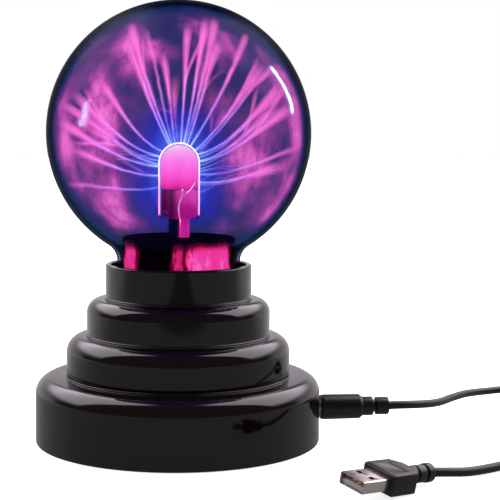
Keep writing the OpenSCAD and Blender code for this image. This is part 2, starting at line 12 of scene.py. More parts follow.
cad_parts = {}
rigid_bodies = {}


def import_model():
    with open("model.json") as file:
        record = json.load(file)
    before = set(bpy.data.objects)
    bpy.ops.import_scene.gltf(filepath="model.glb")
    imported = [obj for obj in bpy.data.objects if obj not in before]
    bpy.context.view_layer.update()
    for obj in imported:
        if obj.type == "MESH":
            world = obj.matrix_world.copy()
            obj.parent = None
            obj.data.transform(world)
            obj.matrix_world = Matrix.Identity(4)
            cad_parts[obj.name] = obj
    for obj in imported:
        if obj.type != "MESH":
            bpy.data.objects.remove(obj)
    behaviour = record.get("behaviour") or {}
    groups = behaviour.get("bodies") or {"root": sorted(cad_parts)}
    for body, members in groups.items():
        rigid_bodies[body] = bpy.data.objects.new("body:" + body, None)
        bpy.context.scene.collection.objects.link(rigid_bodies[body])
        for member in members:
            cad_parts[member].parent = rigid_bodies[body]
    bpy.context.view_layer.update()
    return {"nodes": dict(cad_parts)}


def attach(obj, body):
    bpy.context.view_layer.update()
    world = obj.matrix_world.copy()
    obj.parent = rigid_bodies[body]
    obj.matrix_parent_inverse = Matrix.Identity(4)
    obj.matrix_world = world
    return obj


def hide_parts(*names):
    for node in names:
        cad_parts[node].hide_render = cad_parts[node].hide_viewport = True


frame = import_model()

bl_info = {
    "name": "Plasma Ball",
    "version": (1, 0, 0),
    "blender": (4, 5, 0),
    "location": "3D View > Sidebar > Plasma Ball",
    "description": "Builds a glass plasma ball on a stepped base, with its lead and plugs",
    "category": "Object",
}

MM = 0.001
FULL_TURN = 2 * math.pi

# The part's own sizes, in millimetres
GLOBE_Z = 126.4
GLOBE_R = 54
GLASS_T = 1.2
NECK_R = 25.3
NECK_BLEND_R = 8
NECK_FOOT_Z = 62
STEM_R = 8.5
STEM_NECK_R = 5.45
STEM_T = 0.9
STEM_TOP_Z = 122.8
STEM_STEP_Z = 90.4
STEM_CORNER_R = 2.5
DOME_Z = STEM_TOP_Z - STEM_R
SLEEVE_TOP_Z = 103.6
BASE_R = 58.7
BASE_TOP_Z = 26.9
FOOT_OUT = 0.25
WALL_T = 2.2
BORE_R = 44
LOW_R = 46.1
HIGH_R = 37.8
COLLAR_R = 30.1
COLLAR_Z = 73
PLINTH_H = 0.8
PLINTH_OUT = 0.45
GROOVE_H = 0.5
JACK_Z = 11.6
SWITCH_Z = 11
PLUG_FACE_X = 60.1
PLUG_L = 18.3
PLUG_R = 5.3
PLUG_TAIL_X = PLUG_FACE_X + PLUG_L
RELIEF_L = 11.2
RELIEF_END_X = PLUG_TAIL_X + RELIEF_L
BARREL_R = 2.75
BARREL_L = 9.5
USB_W = 12
USB_T = 4.5
USB_L = 12.6
USB_WALL = 0.35
GRIP_W = 15.6
GRIP_T = 8
GRIP_L = 12
GRIP_TAPER_L = 4.6
USB_RELIEF_L = 10.5
USB_NOSE = (51.3, -102.5, 6.95)
USB_TURN = (9, 4, 32)
COIL_CENTRE = (189, 54)
COIL_R = 21
COIL_HALF_W = 6.4
COIL_H = 7.2
CORD_OUT = (
    (RELIEF_END_X, 0, JACK_Z), (94, 0.2, 11.7), (99.4, 1.8, 11.4), (105, 4.8, 10.8),
    (110.6, 9.4, 10), (116.2, 16, 9), (121.4, 24, 8), (126.6, 32.4, 7.2),
    (132.4, 41.2, 6.3), (139, 50.2, 5.4), (146.6, 58.8, 4.3), (155.6, 66.4, 3.3),
    (166.6, 72.8, 2.7), (179.4, 77.6, 2.6),
)
CORD_BACK = (
    (210.6, 41.6, 6), (207, 34.4, 5.2), (203.2, 27, 3.6), (199, 19.4, 2.2),
    (194, 11.4, 1.8), (188, 2.4, 1.8), (181.2, -7.4, 1.8), (173.4, -17.6, 1.8),
    (164.6, -28, 1.8), (154.8, -38.2, 1.8), (144, -47.8, 1.8), (132.8, -56.4, 1.8),
    (121.6, -63.8, 1.8), (110.8, -70.4, 1.9), (100.8, -75.8, 2.4), (92.6, -79.2, 3.4),
    (84.9, -81.5, 4.2),
)


# ---------- modelling helpers ----------

def clear_selection():
    """Leave edit mode and deselect every object"""
    if bpy.context.object and bpy.context.object.mode != "OBJECT":
        bpy.ops.object.mode_set(mode="OBJECT")
    for other in bpy.context.view_layer.objects:
        other.select_set(False)


def activate(piece):
    """Make one piece the only selected and active object"""
    clear_selection()
    piece.select_set(True)
    bpy.context.view_layer.objects.active = piece
    return piece


def named(name):
    """Name the object that an operator has just added"""
    piece = bpy.context.object
    piece.name = piece.data.name = name
    return piece


def edit():
    """Open the active piece's mesh for editing, with vertices picked"""
    bpy.ops.object.mode_set(mode="EDIT")
    bpy.ops.mesh.select_mode(type="VERT")


def done():
    bpy.ops.object.mode_set(mode="OBJECT")
    return bpy.context.object


def pick(kind, test):
    """Select the faces, edges or vertices of the mesh in edit mode that pass a test"""
    mesh = bmesh.from_edit_mesh(bpy.context.object.data)
    bpy.ops.mesh.select_all(action="DESELECT")
    bpy.ops.mesh.select_mode(type={"verts": "VERT", "edges": "EDGE", "faces": "FACE"}[kind])
    for element in getattr(mesh, kind):
        element.select_set(bool(test(element)))
    mesh.select_flush_mode()
    bmesh.update_edit_mesh(bpy.context.object.data)


def apply_place(piece, matrix=None):
    """Move the piece's place into its mesh"""
    activate(piece)
    if matrix is not None:
        piece.matrix_world = matrix
        bpy.context.view_layer.update()
    bpy.ops.object.transform_apply(location=True, rotation=True, scale=True)
    return piece


def smooth(piece, angle=32):
    activate(piece)
    bpy.ops.object.shade_smooth_by_angle(angle=math.radians(angle))
    return piece


def bevelled(piece, width, segments=3, angle=30):
    """Round the piece's sharp edges with an applied modifier; the width is in millimetres"""
    activate(piece)
    bpy.ops.object.modifier_add(type="BEVEL")
    bevel = piece.modifiers[-1]
    bevel.width = width * MM
    bevel.segments = segments
    bevel.limit_method = "ANGLE"
    bevel.angle_limit = math.radians(angle)
    bpy.ops.object.modifier_apply(modifier=bevel.name)
    return piece


def cut_with(piece, tool):
    """Cut the tool out of the piece and remove the tool"""
    activate(piece)
    bpy.ops.object.modifier_add(type="BOOLEAN")
    boolean = piece.modifiers[-1]
    boolean.object = tool
    boolean.operation = "DIFFERENCE"
    boolean.solver = "EXACT"
    bpy.ops.object.modifier_apply(modifier=boolean.name)
    activate(tool)
    bpy.ops.object.delete()
    return piece


def joined(name, pieces):
    activate(pieces[0])
    for piece in pieces:
        piece.select_set(True)
    bpy.ops.object.join()
    return named(name)


def block(name, low, high):
    """Box between two corners in millimetres"""
    clear_selection()
    centre = [(a + b) / 2 * MM for a, b in zip(low, high)]
    bpy.ops.mesh.primitive_cube_add(size=1, location=centre)
    piece = named(name)
    piece.scale = [(b - a) * MM for a, b in zip(low, high)]
    return apply_place(piece)


def rounded(corners, steps=10):
    """Outline (radius, height) points with every third value as the corner's rounding"""
    points = []
    for i, (r, z, rounding) in enumerate(corners):
        corner = Vector((r, z))
        if not rounding or i in (0, len(corners) - 1):
            points.append(corner)
            continue
        back = (Vector(corners[i - 1][:2]) - corner).normalized()
        ahead = (Vector(corners[i + 1][:2]) - corner).normalized()
        half = back.angle(ahead) / 2
        reach = rounding / math.tan(half)
        centre = corner + (back + ahead).normalized() * rounding / math.sin(half)
        start, end = corner + back * reach - centre, corner + ahead * reach - centre
        sweep = start.angle_signed(end)
        for k in range(steps + 1):
            turn = Matrix.Rotation(-sweep * k / steps, 2)
            points.append(centre + turn @ start)
    return [(p.x, p.y) for p in points]


def turned(name, outline, steps=256, angle=32):
    """Piece turned about the upright axis from an outline in millimetres"""
    clear_selection()
    first = outline[0]
    bpy.ops.mesh.primitive_plane_add(size=MM, location=(0, 0, 0))
    piece = named(name)
    edit()
    bpy.ops.mesh.select_all(action="SELECT")
    bpy.ops.mesh.merge(type="CENTER")
    bpy.ops.transform.translate(value=(first[0] * MM, 0, first[1] * MM))
    for (r0, z0), (r1, z1) in zip(outline, outline[1:]):
        bpy.ops.mesh.extrude_vertices_move(
            TRANSFORM_OT_translate={"value": ((r1 - r0) * MM, 0, (z1 - z0) * MM)})
    bpy.ops.mesh.select_all(action="SELECT")
    bpy.ops.mesh.spin(steps=steps, angle=FULL_TURN, center=(0, 0, 0), axis=(0, 0, 1))
    bpy.ops.mesh.select_all(action="SELECT")
    bpy.ops.mesh.remove_doubles(threshold=2e-6)
    bpy.ops.mesh.select_all(action="SELECT")
    bpy.ops.mesh.normals_make_consistent(inside=False)
    done()
    return smooth(piece, angle)


def lay_along_x(piece, x, z):
    """Turn an upright piece so that its axis runs along +X from a point"""
    matrix = Matrix.Translation((x * MM, 0, z * MM)) @ Matrix.Rotation(math.pi / 2, 4, "Y")
    return apply_place(piece, matrix)


def smooth_path(points, parts):
    """Points on the smooth curve through a list of points"""
    spots = [Vector(p) for p in points]
    path = []
    for i in range(len(spots) - 1):
        a, b = spots[max(i - 1, 0)], spots[i]
        c, d = spots[i + 1], spots[min(i + 2, len(spots) - 1)]
        for k in range(parts):
            t = k / parts
            path.append(0.5 * (2 * b + (c - a) * t + (2 * a - 5 * b + 4 * c - d) * t * t
                               + (3 * b - a - 3 * c + d) * t ** 3))
    path.append(spots[-1])
    return path


def curve_piece(name, splines, depth, resolution=4):
    """Curve object with one smooth spline for each list of (point, radius) in millimetres"""
    data = bpy.data.curves.new(name, "CURVE")
    data.dimensions = "3D"
    data.bevel_depth = depth * MM
    data.bevel_resolution = resolution
    data.use_fill_caps = True
    for spots in splines:
        spline = data.splines.new("POLY")
        spline.points.add(len(spots) - 1)
        for point, (place, radius) in zip(spline.points, spots):
            point.co = (*(Vector(place) * MM), 1)
            point.radius = radius
        spline.use_smooth = True
    piece = bpy.data.objects.new(name, data)
    bpy.context.scene.collection.objects.link(piece)
    return piece


def as_mesh(piece):
    activate(piece)
    bpy.ops.object.convert(target="MESH")
    piece = bpy.context.object
    edit()
    bpy.ops.mesh.select_all(action="SELECT")
    bpy.ops.mesh.normals_make_consistent(inside=False)
    done()
    return piece


def fit(piece, body, slot, material, *nodes):
    """Give a piece its finish, body and the nodes that it stands for; the slot is not used"""
    piece.data.materials.clear()
    piece.data.materials.append(material)
    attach(piece, body)
    if nodes:
        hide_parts(*nodes)
    return piece


# ---------- finishes ----------

class Nodes:
    """Short way to add and link a material's nodes"""

    def __init__(self, name):
        self.material = bpy.data.materials.new(name)
        self.material.use_nodes = True
        self.tree = self.material.node_tree
        self.shader = self.tree.nodes["Principled BSDF"]
        self.place = self.tree.nodes.new("ShaderNodeTexCoord").outputs["Object"]

    def add(self, kind, links=None, **values):
        node = self.tree.nodes.new(kind)
        for key, value in values.items():
            setattr(node, key, value)
        for socket, source in (links or {}).items():
            self.put(node.inputs[socket], source)
        return node

    def put(self, socket, source):
        if isinstance(source, bpy.types.NodeSocket):
            self.tree.links.new(source, socket)
        else:
            socket.default_value = source

    def set(self, **values):
        """Set the shader's sockets by name, with _ for a space"""
        names = {s.name.lower().replace(" ", "_"): s for s in self.shader.inputs}
        for key, value in values.items():
            self.put(names[key], value)

    def noise(self, scale, detail=3, rough=0.55, stretch=None):
        place = self.place
        if stretch:
            place = self.add("ShaderNodeMapping", {"Vector": place, "Scale": stretch}).outputs[0]
        return self.add("ShaderNodeTexNoise", {
            "Vector": place, "Scale": scale, "Detail": detail, "Roughness": rough}).outputs["Fac"]

    def math(self, operation, a, b=0.0, clamp=False):
        return self.add("ShaderNodeMath", {0: a, 1: b}, operation=operation,
                        use_clamp=clamp).outputs[0]

    def span(self, value, low, high, to_low=0.0, to_high=1.0, smooth_step=False):
        """Map a value from one span to another, clamped"""
        return self.add("ShaderNodeMapRange", {
            "Value": value, "From Min": low, "From Max": high, "To Min": to_low,
            "To Max": to_high},
            interpolation_type="SMOOTHSTEP" if smooth_step else "LINEAR").outputs["Result"]

    def ramp(self, value, *stops):
        node = self.add("ShaderNodeValToRGB", {"Fac": value})
        ramp = node.color_ramp
        while len(ramp.elements) < len(stops):
            ramp.elements.new(0.5)
        for element, (position, colour) in zip(ramp.elements, stops):
            element.position = position
            element.color = (*colour, 1)
        return node.outputs["Color"]

    def mix(self, value, a, b):
        node = self.add("ShaderNodeMix", data_type="RGBA")
        for socket, source in ((node.inputs[0], value), (node.inputs[6], a), (node.inputs[7], b)):
            if isinstance(source, (tuple, list)):
                source = (*source[:3], 1)
            self.put(socket, source)
        return node.outputs[2]

    def grey(self, value):
        """The same value in all three channels"""
        return self.add("ShaderNodeCombineXYZ", {0: value, 1: value, 2: value}).outputs[0]

    def bump(self, height, strength, distance):
        self.set(normal=self.add("ShaderNodeBump", {
            "Height": height, "Strength": strength, "Distance": distance}).outputs[0])

    def facing(self, blend=0.5):
        return self.add("ShaderNodeLayerWeight", {"Blend": blend}).outputs["Facing"]


def plain_finish(name, colour, other, roughness, spread=0.08, scale=400, bump=0.1,
                 depth=0.0001, metallic=0.0, specular=0.5, detail=4, stretch=None):
    """Material with uneven colour, roughness and a fine surface"""
    n = Nodes(name)
    fine = n.noise(scale, detail, 0.6, stretch)
    broad = n.noise(scale / 9, 3, 0.5)
    n.set(base_color=n.mix(broad, colour, other), metallic=metallic,
          specular_ior_level=specular,
          roughness=n.span(fine, 0.3, 0.7, roughness - spread / 2, roughness + spread / 2))
    n.bump(fine, bump, depth)
    return n.material


def gloss_case(settings):
    """Polished black moulding with a faint uneven gloss"""
    n = Nodes("case_gloss_black")
    wave = n.noise(38, 2, 0.5)
    dust = n.noise(900, 5, 0.7)
    colour = tuple(settings.colour)
    n.set(base_color=n.mix(dust, colour, tuple(c * 1.6 + 0.001 for c in colour)),
          specular_ior_level=0.5,
          roughness=n.math("ADD", settings.roughness, n.span(dust, 0.45, 0.75, 0.0, 0.035)))
    n.bump(wave, 0.05, 0.0004)
    return n.material


def banded_finish(name, colour, groove, roughness, pitch, axis="Z", metallic=0.0):
    """Material with fine even bands, as on wound wire or turned metal"""
    n = Nodes(name)
    wave = n.add("ShaderNodeTexWave", {
        "Vector": n.place, "Scale": 0.16 / (pitch * MM), "Distortion": 0.3,
        "Detail": 1.0}, bands_direction=axis).outputs["Fac"]
    n.set(base_color=n.mix(wave, groove, colour), roughness=roughness, metallic=metallic)
    n.bump(wave, 0.5, pitch * MM * 0.3)
    return n.material


def weave_finish(name, colour, light, pitch):
    """Material of crossed threads"""
    n = Nodes(name)
    threads = [n.add("ShaderNodeTexWave", {"Vector": n.place, "Scale": 0.16 / (pitch * MM)},
                     bands_direction=axis).outputs["Fac"] for axis in "XY"]
    height = n.math("MULTIPLY", *threads)
    n.set(base_color=n.mix(height, colour, light), roughness=0.85, sheen_weight=0.3)
    n.bump(height, 0.6, pitch * MM * 0.4)
    return n.material


def board_finish():
    """Green board with darker tracks under its lacquer"""
    n = Nodes("board_green_lacquer")
    tracks = n.add("ShaderNodeTexBrick", {
        "Vector": n.place, "Scale": 60.0, "Mortar Size": 0.06,
        "Color1": (0.012, 0.12, 0.04, 1), "Color2": (0.014, 0.14, 0.05, 1),
        "Mortar": (0.03, 0.24, 0.09, 1)}).outputs["Color"]
    n.set(base_color=n.mix(n.noise(90), tracks, (0.01, 0.1, 0.035)), roughness=0.3,
          coat_weight=0.4)
    n.bump(n.noise(700), 0.08, 0.0001)
    return n.material


def sleeve_finish_painted_glow():
    """Dark glossy sleeve with painted pink light from the gas on one side of its foot"""
    n = Nodes("sleeve_dark_gloss")
    x, _, z = n.add("ShaderNodeSeparateXYZ", {"Vector": n.place}).outputs
    streak = n.noise(300, 4, 0.6, (1, 1, 0.3))
    # Painted light: pink emission on one side of the sleeve's foot, standing for the gas light that
    # falls on it
    lit = n.math("MULTIPLY", n.span(x, -0.0012, 0.001, smooth_step=True),
                 n.span(z, 0.094, 0.0905, smooth_step=True))
    n.set(base_color=n.mix(streak, (0.014, 0.004, 0.012), (0.03, 0.006, 0.02)),
          roughness=0.16, emission_color=(0.75, 0.02, 0.36, 1),
          emission_strength=n.math("MULTIPLY", lit, n.span(streak, 0.3, 0.7, 0.4, 1.1)))
    n.bump(streak, 0.15, 0.0001)
    return n.material


def resistor_finish():
    """Tan body with painted rings"""
    n = Nodes("resistor_tan_rings")
    x = n.add("ShaderNodeSeparateXYZ", {"Vector": n.place}).outputs["X"]
    local = n.math("MULTIPLY", n.math("ADD", x, 0.004), 1 / 0.006, clamp=True)
    rings = n.ramp(local, (0.0, (0.45, 0.33, 0.2)), (0.2, (0.3, 0.05, 0.02)),
                   (0.28, (0.45, 0.33, 0.2)), (0.42, (0.02, 0.02, 0.02)),
                   (0.5, (0.45, 0.33, 0.2)), (0.64, (0.5, 0.18, 0.02)),
                   (0.72, (0.45, 0.33, 0.2)), (0.9, (0.5, 0.35, 0.05)),
                   (1.0, (0.45, 0.33, 0.2)))
    rings.node.color_ramp.interpolation = "CONSTANT"
    n.set(base_color=n.mix(n.noise(500), rings, (0.4, 0.3, 0.18)), roughness=0.5)
    n.bump(n.noise(900), 0.1, 0.0001)
    return n.material


def glass_finish():
    """Clear globe glass with a painted dark outline: its colour darkens to navy and black towards
    the outline
    """
    n = Nodes("globe_glass_clear")
    facing = n.facing()
    # Painted shade: the colour turns navy, then black, as the surface turns edge-on
    tint = n.ramp(facing, (0.0, (0.98, 0.99, 1.0)), (0.62, (0.92, 0.95, 0.99)),
                  (0.69, (0.5, 0.6, 0.85)), (0.75, (0.04, 0.1, 0.22)),
                  (0.81, (0.002, 0.008, 0.02)), (1.0, (0.0, 0.0, 0.0)))
    n.set(base_color=tint, transmission_weight=1.0, ior=1.01, roughness=0.0,
          specular_ior_level=0.5, coat_weight=0.025, coat_roughness=0.02, coat_ior=1.5)
    n.bump(n.noise(26, 2), 0.02, 0.0004)
    return n.material


def gas_finish(settings):
    """Thin mist on the near side and a deep violet wall with pink clouds on the far side"""
    n = Nodes("gas_haze")
    clouds = n.add("ShaderNodeAttribute", attribute_name="clouds").outputs["Fac"]
    broad = n.noise(26, 3, 0.5)
    fine = n.noise(75, 4, 0.6)
    mottle = n.math("MULTIPLY", n.span(broad, 0.36, 0.64, smooth_step=True),
                    n.span(fine, 0.3, 0.7, 0.5, 1.0))
    streaks = n.span(n.noise(150, 5, 0.7, (1, 1, 0.45)), 0.3, 0.7, 0.55, 1.1)
    patch = n.math("MULTIPLY", clouds, n.math("ADD", n.math("MULTIPLY", mottle, 0.7), 0.5))
    patch = n.math("ADD", n.math("MULTIPLY", mottle, 0.38), patch)
    patch = n.math("MULTIPLY", patch, streaks, clamp=True)
    colour = n.ramp(patch, (0.0, (0.008, 0.014, 0.09)), (0.2, (0.035, 0.022, 0.15)),
                    (0.42, (0.17, 0.035, 0.24)), (0.68, (0.52, 0.07, 0.4)),
                    (1.0, (0.95, 0.17, 0.66)))
    behind = n.add("ShaderNodeNewGeometry").outputs["Backfacing"]
    facing = n.facing()
    z = n.add("ShaderNodeSeparateXYZ", {"Vector": n.place}).outputs["Z"]
    # Painted shade: the near side turns opaque dark navy towards the globe's outline and its top
    rim = n.math("ADD", facing, n.span(z, 0.14, 0.178, 0.0, 0.15))
    rim = n.span(rim, 0.64, 0.82, smooth_step=True)
    near = n.math("ADD", n.math("MULTIPLY", patch, 0.3), 0.03)
    near = n.math("ADD", near, n.math("MULTIPLY", rim, 0.75), clamp=True)
    alpha = n.math("ADD", n.math("MULTIPLY", behind, 0.985),
                   n.math("MULTIPLY", n.math("SUBTRACT", 1.0, behind), near), clamp=True)
    low = n.span(z, 0.086, 0.106, smooth_step=True)
    neck = n.span(z, 0.079, 0.084, smooth_step=True)
    colour = n.mix(n.span(z, 0.078, 0.09, smooth_step=True), (0.004, 0.014, 0.05), colour)
    # The painted dark outline is navy, with teal on its lower part
    edge = n.mix(n.math("MULTIPLY", rim, n.math("SUBTRACT", 1.0, behind)), colour,
                 n.mix(low, (0.005, 0.07, 0.17), (0.006, 0.025, 0.1)))
    edge = n.mix(neck, (0.0, 0.001, 0.003), edge)
    n.set(base_color=(0, 0, 0, 1), specular_ior_level=0.0, roughness=1.0,
          emission_color=edge, emission_strength=settings.haze, alpha=alpha)
    return n.material


def glow_finish(name, stops, strength, alpha, power=1.5, far_side=False, reach=52.0):
    """Glowing gas whose colour follows its distance from the top of the stem"""
    n = Nodes(name)
    away = n.add("ShaderNodeVectorMath", {0: n.place, 1: (0, 0, DOME_Z * MM)},
                 operation="DISTANCE").outputs["Value"]
    share = n.math("DIVIDE", away, reach * MM)
    colour = n.ramp(share, *stops)
    soft = n.math("POWER", n.math("SUBTRACT", 1.0, n.facing(), clamp=True), power)
    out = n.add("ShaderNodeVectorMath", {0: n.place, 1: (0, 0, GLOBE_Z * MM)},
                operation="DISTANCE").outputs["Value"]
    fade = n.span(out, 0.0515, 0.043, 0.0, 1.0, True)
    if far_side:
        fade = n.math("MULTIPLY", fade, n.add("ShaderNodeNewGeometry").outputs["Backfacing"])
    flow = n.span(n.noise(170, 5, 0.7), 0.32, 0.68, 0.35, 1.1)
    body = n.math("MULTIPLY", n.math("MULTIPLY", soft, alpha), n.math("MULTIPLY", flow, fade))
    n.set(base_color=(0, 0, 0, 1), specular_ior_level=0.0, roughness=1.0,
          emission_color=colour, emission_strength=strength, alpha=body)
    return n.material


# ---------- settings ----------

class CaseSettings(PropertyGroup):
    colour: FloatVectorProperty(
        name="Case colour", description="Colour of the moulded base, tiers and collar",
        subtype="COLOR", size=3, min=0, max=1, default=(0.005, 0.0025, 0.0035))
    roughness: FloatProperty(
        name="Case roughness", description="Roughness of the polished moulding",
        subtype="FACTOR", min=0, max=1, default=0.045)
    steps: IntProperty(
        name="Steps round", description="Steps round each turned piece",
        min=48, max=360, default=256)


class PlasmaSettings(PropertyGroup):
    root_colour: FloatVectorProperty(
        name="Root colour", description="Colour of the streamers where they leave the stem",
        subtype="COLOR", size=3, min=0, max=1, default=(0.32, 0.42, 1.0))
    middle_colour: FloatVectorProperty(
        name="Middle colour", description="Colour of the streamers half way out",
        subtype="COLOR", size=3, min=0, max=1, default=(0.62, 0.2, 0.95))
    end_colour: FloatVectorProperty(
        name="End colour", description="Colour of the streamers where they meet the glass",
        subtype="COLOR", size=3, min=0, max=1, default=(1.0, 0.14, 0.66))
    brightness: FloatProperty(
        name="Brightness", description="Strength of the streamers' light",
        min=0, max=20, default=1.0)
    haze: FloatProperty(
        name="Haze", description="Strength of the haze's light", min=0, max=4, default=1.0)
    thin_streamers: IntProperty(
        name="Thin streamers", description="How many faint streamers fill the globe",
        min=0, max=120, default=18)
    seed: IntProperty(
        name="Seed", description="Choice of directions for the faint streamers", default=7)


class LeadSettings(PropertyGroup):
    diameter: FloatProperty(
        name="Lead diameter", description="Outside diameter of the round lead",
        subtype="DISTANCE", unit="LENGTH", min=0.002, max=0.006, default=0.0035)
    colour: FloatVectorProperty(
        name="Lead colour", description="Colour of the lead and its plugs",
        subtype="COLOR", size=3, min=0, max=1, default=(0.006, 0.005, 0.006))


class StageSettings(PropertyGroup):
    floor_colour: FloatVectorProperty(
        name="Floor colour", description="Colour of the floor", subtype="COLOR", size=3,
        min=0, max=1, default=(0.95, 0.95, 0.95))
    surround: FloatProperty(
        name="Surround", description="Brightness of the room in reflections",
        min=0, max=2, default=0.1)
    softboxes: FloatProperty(
        name="Softboxes", description="Brightness of the two overhead softboxes, in reflections",
        min=0, max=8, default=3.4)
    backdrop: FloatProperty(
        name="Backdrop", description="Brightness of the pale backdrop, in reflections",
        min=0, max=4, default=0.6)


# ---------- stage ----------

class PLASMA_OT_stage(Operator):
    """Add the camera, the pale floor and the soft lights"""
    bl_idname = "plasma.stage"
    bl_label = "Stage"

    def execute(self, context):
        settings = context.scene.stage_settings
        self.camera(context)
        self.floor(settings)
        self.surround(context, settings)
        self.lights()
        context.scene.view_settings.view_transform = "Standard"
        return {"FINISHED"}

    def camera(self, context):
        clear_selection()
        bpy.ops.object.camera_add(location=(-0.0453, -0.5302, 0.1265))
        camera = context.object
        level = Euler((math.radians(90 - 5.128), 0, math.radians(-8.044))).to_matrix()
        camera.rotation_euler = (level @ Matrix.Rotation(math.radians(0.5), 3, "Z")).to_euler()
        camera.name = "camera"
        camera.data.lens = 93.08
        camera.data.sensor_width = 36
        context.scene.camera = camera

    def floor(self, settings):
        clear_selection()
        bpy.ops.mesh.primitive_circle_add(vertices=96, radius=6, fill_type="TRIFAN")
        floor = named("floor")
        n = Nodes("floor_white")
        seen = n.add("ShaderNodeLightPath").outputs["Is Camera Ray"]
        x, y, _ = n.add("ShaderNodeSeparateXYZ", {"Vector": n.place}).outputs
        behind = n.span(y, 0.0, 0.35, 0.0, 0.4, True)
        ahead = n.math("MULTIPLY", n.span(y, -0.72, -0.6, 1.0, 0.0, True),
                       n.span(n.math("ABSOLUTE", x), 0.5, 0.3, smooth_step=True))
        level = n.math("ADD", n.math("MULTIPLY", ahead, -0.22), behind)
        level = n.math("ADD", level, 0.26)
        n.set(base_color=n.mix(seen, (0.05, 0.05, 0.05), tuple(settings.floor_colour)),
              roughness=0.9, specular_ior_level=0.1,
              emission_color=(*settings.floor_colour, 1),
              emission_strength=n.mix(seen, n.grey(level), (0.86, 0.86, 0.86)))
        floor.data.materials.append(n.material)

    def surround(self, context, settings):
        world = bpy.data.worlds.new("soft_surround")
        world.use_nodes = True
        context.scene.world = world
        tree = world.node_tree
        light = tree.nodes["Background"]
        self.tree = tree
        way = tree.nodes.new("ShaderNodeTexCoord").outputs["Generated"]
        turn = self.node("ShaderNodeVectorRotate", {
            "Vector": way, "Axis": (0, 0, 1), "Angle": math.radians(8)})[0]
        x, y, z = self.node("ShaderNodeSeparateXYZ", {0: turn})
        aside = self.node("ShaderNodeMath", {0: x}, operation="ABSOLUTE")[0]
        boxes = self.times(self.span(aside, 0.08, 0.34), self.span(y, -0.16, -0.03),
                           self.span(z, 0.15, 0.6))
        horizon = self.times(self.span(z, 0.4, 0.15), self.span(y, 0.15, 0.6))
        level = self.node("ShaderNodeMath", {
            0: self.span(boxes, 0, 1, settings.surround, settings.softboxes),
            1: self.span(horizon, 0, 1, 0, settings.backdrop)}, operation="ADD")[0]
        seen = self.node("ShaderNodeLightPath", {})[0]
        shown = self.node("ShaderNodeMix", {0: seen, 2: level, 3: 1.0})[0]
        tree.links.new(shown, light.inputs["Strength"])
        tint = self.node("ShaderNodeMix", {0: seen, 6: (1, 0.93, 1, 1), 7: (1, 1, 1, 1)},
                         data_type="RGBA")[2]
        tree.links.new(tint, light.inputs["Color"])

    def node(self, kind, links, **values):
        """Add a node to the surround and link its inputs"""
        node = self.tree.nodes.new(kind)
        for key, value in values.items():
            setattr(node, key, value)
        for socket, source in links.items():
            if isinstance(source, bpy.types.NodeSocket):
                self.tree.links.new(source, node.inputs[socket])
            else:
                node.inputs[socket].default_value = source
        return node.outputs

    def span(self, value, low, high, to_low=0.0, to_high=1.0):
        return self.node("ShaderNodeMapRange", {
            "Value": value, "From Min": low, "From Max": high, "To Min": to_low,
            "To Max": to_high}, interpolation_type="SMOOTHSTEP")[0]

    def times(self, first, *others):
        for other in others:
            first = self.node("ShaderNodeMath", {0: first, 1: other}, operation="MULTIPLY")[0]
        return first

    def lights(self):
        """Narrow lamps that glint on the globe only"""
        aim = Vector((0, 0, 0.1))
        lit = bpy.data.collections.new("glinting_glass")
        for name, place, size, power in (
                ("right_strip", (0.92, 0.34, 0.52), (0.06, 0.5), 230),
                ("left_strip", (-1.0, 0.04, 0.34), (0.16, 0.3), 60)):
            clear_selection()
            place = Vector(place)
            bpy.ops.object.light_add(type="AREA", location=place)
            lamp = bpy.context.object
            lamp.name = name
            lamp.rotation_euler = (aim - place).to_track_quat("-Z", "Y").to_euler()
            lamp.data.shape = "RECTANGLE"
            lamp.data.size, lamp.data.size_y = size
            lamp.data.energy = power
            lamp.data.color = (0.42, 0.62, 1.0)
            lamp.light_linking.receiver_collection = lit
            lamp.visible_camera = False


# ---------- lead ----------

def coil_path():
    """Two layers of turns, wound clockwise and climbing once"""
    stretches = ((2.5, 25.5, 16.5, 2.55, 2.55), (0.5, 16.5, 18.3, 2.55, 6.05),
                 (2.394, 18.3, 24.9, 6.05, 6.05))
    angle = math.radians(112)
    path = []
    for turns, r0, r1, z0, z1 in stretches:
        steps = round(turns * 36)
        for k in range(steps):
            share = k / steps
            a = angle - FULL_TURN * turns * share
            r = r0 + (r1 - r0) * share
            path.append((COIL_CENTRE[0] + r * math.cos(a), COIL_CENTRE[1] + r * math.sin(a),
                         z0 + (z1 - z0) * (0.5 - 0.5 * math.cos(math.pi * share))))
        angle -= FULL_TURN * turns
    return path


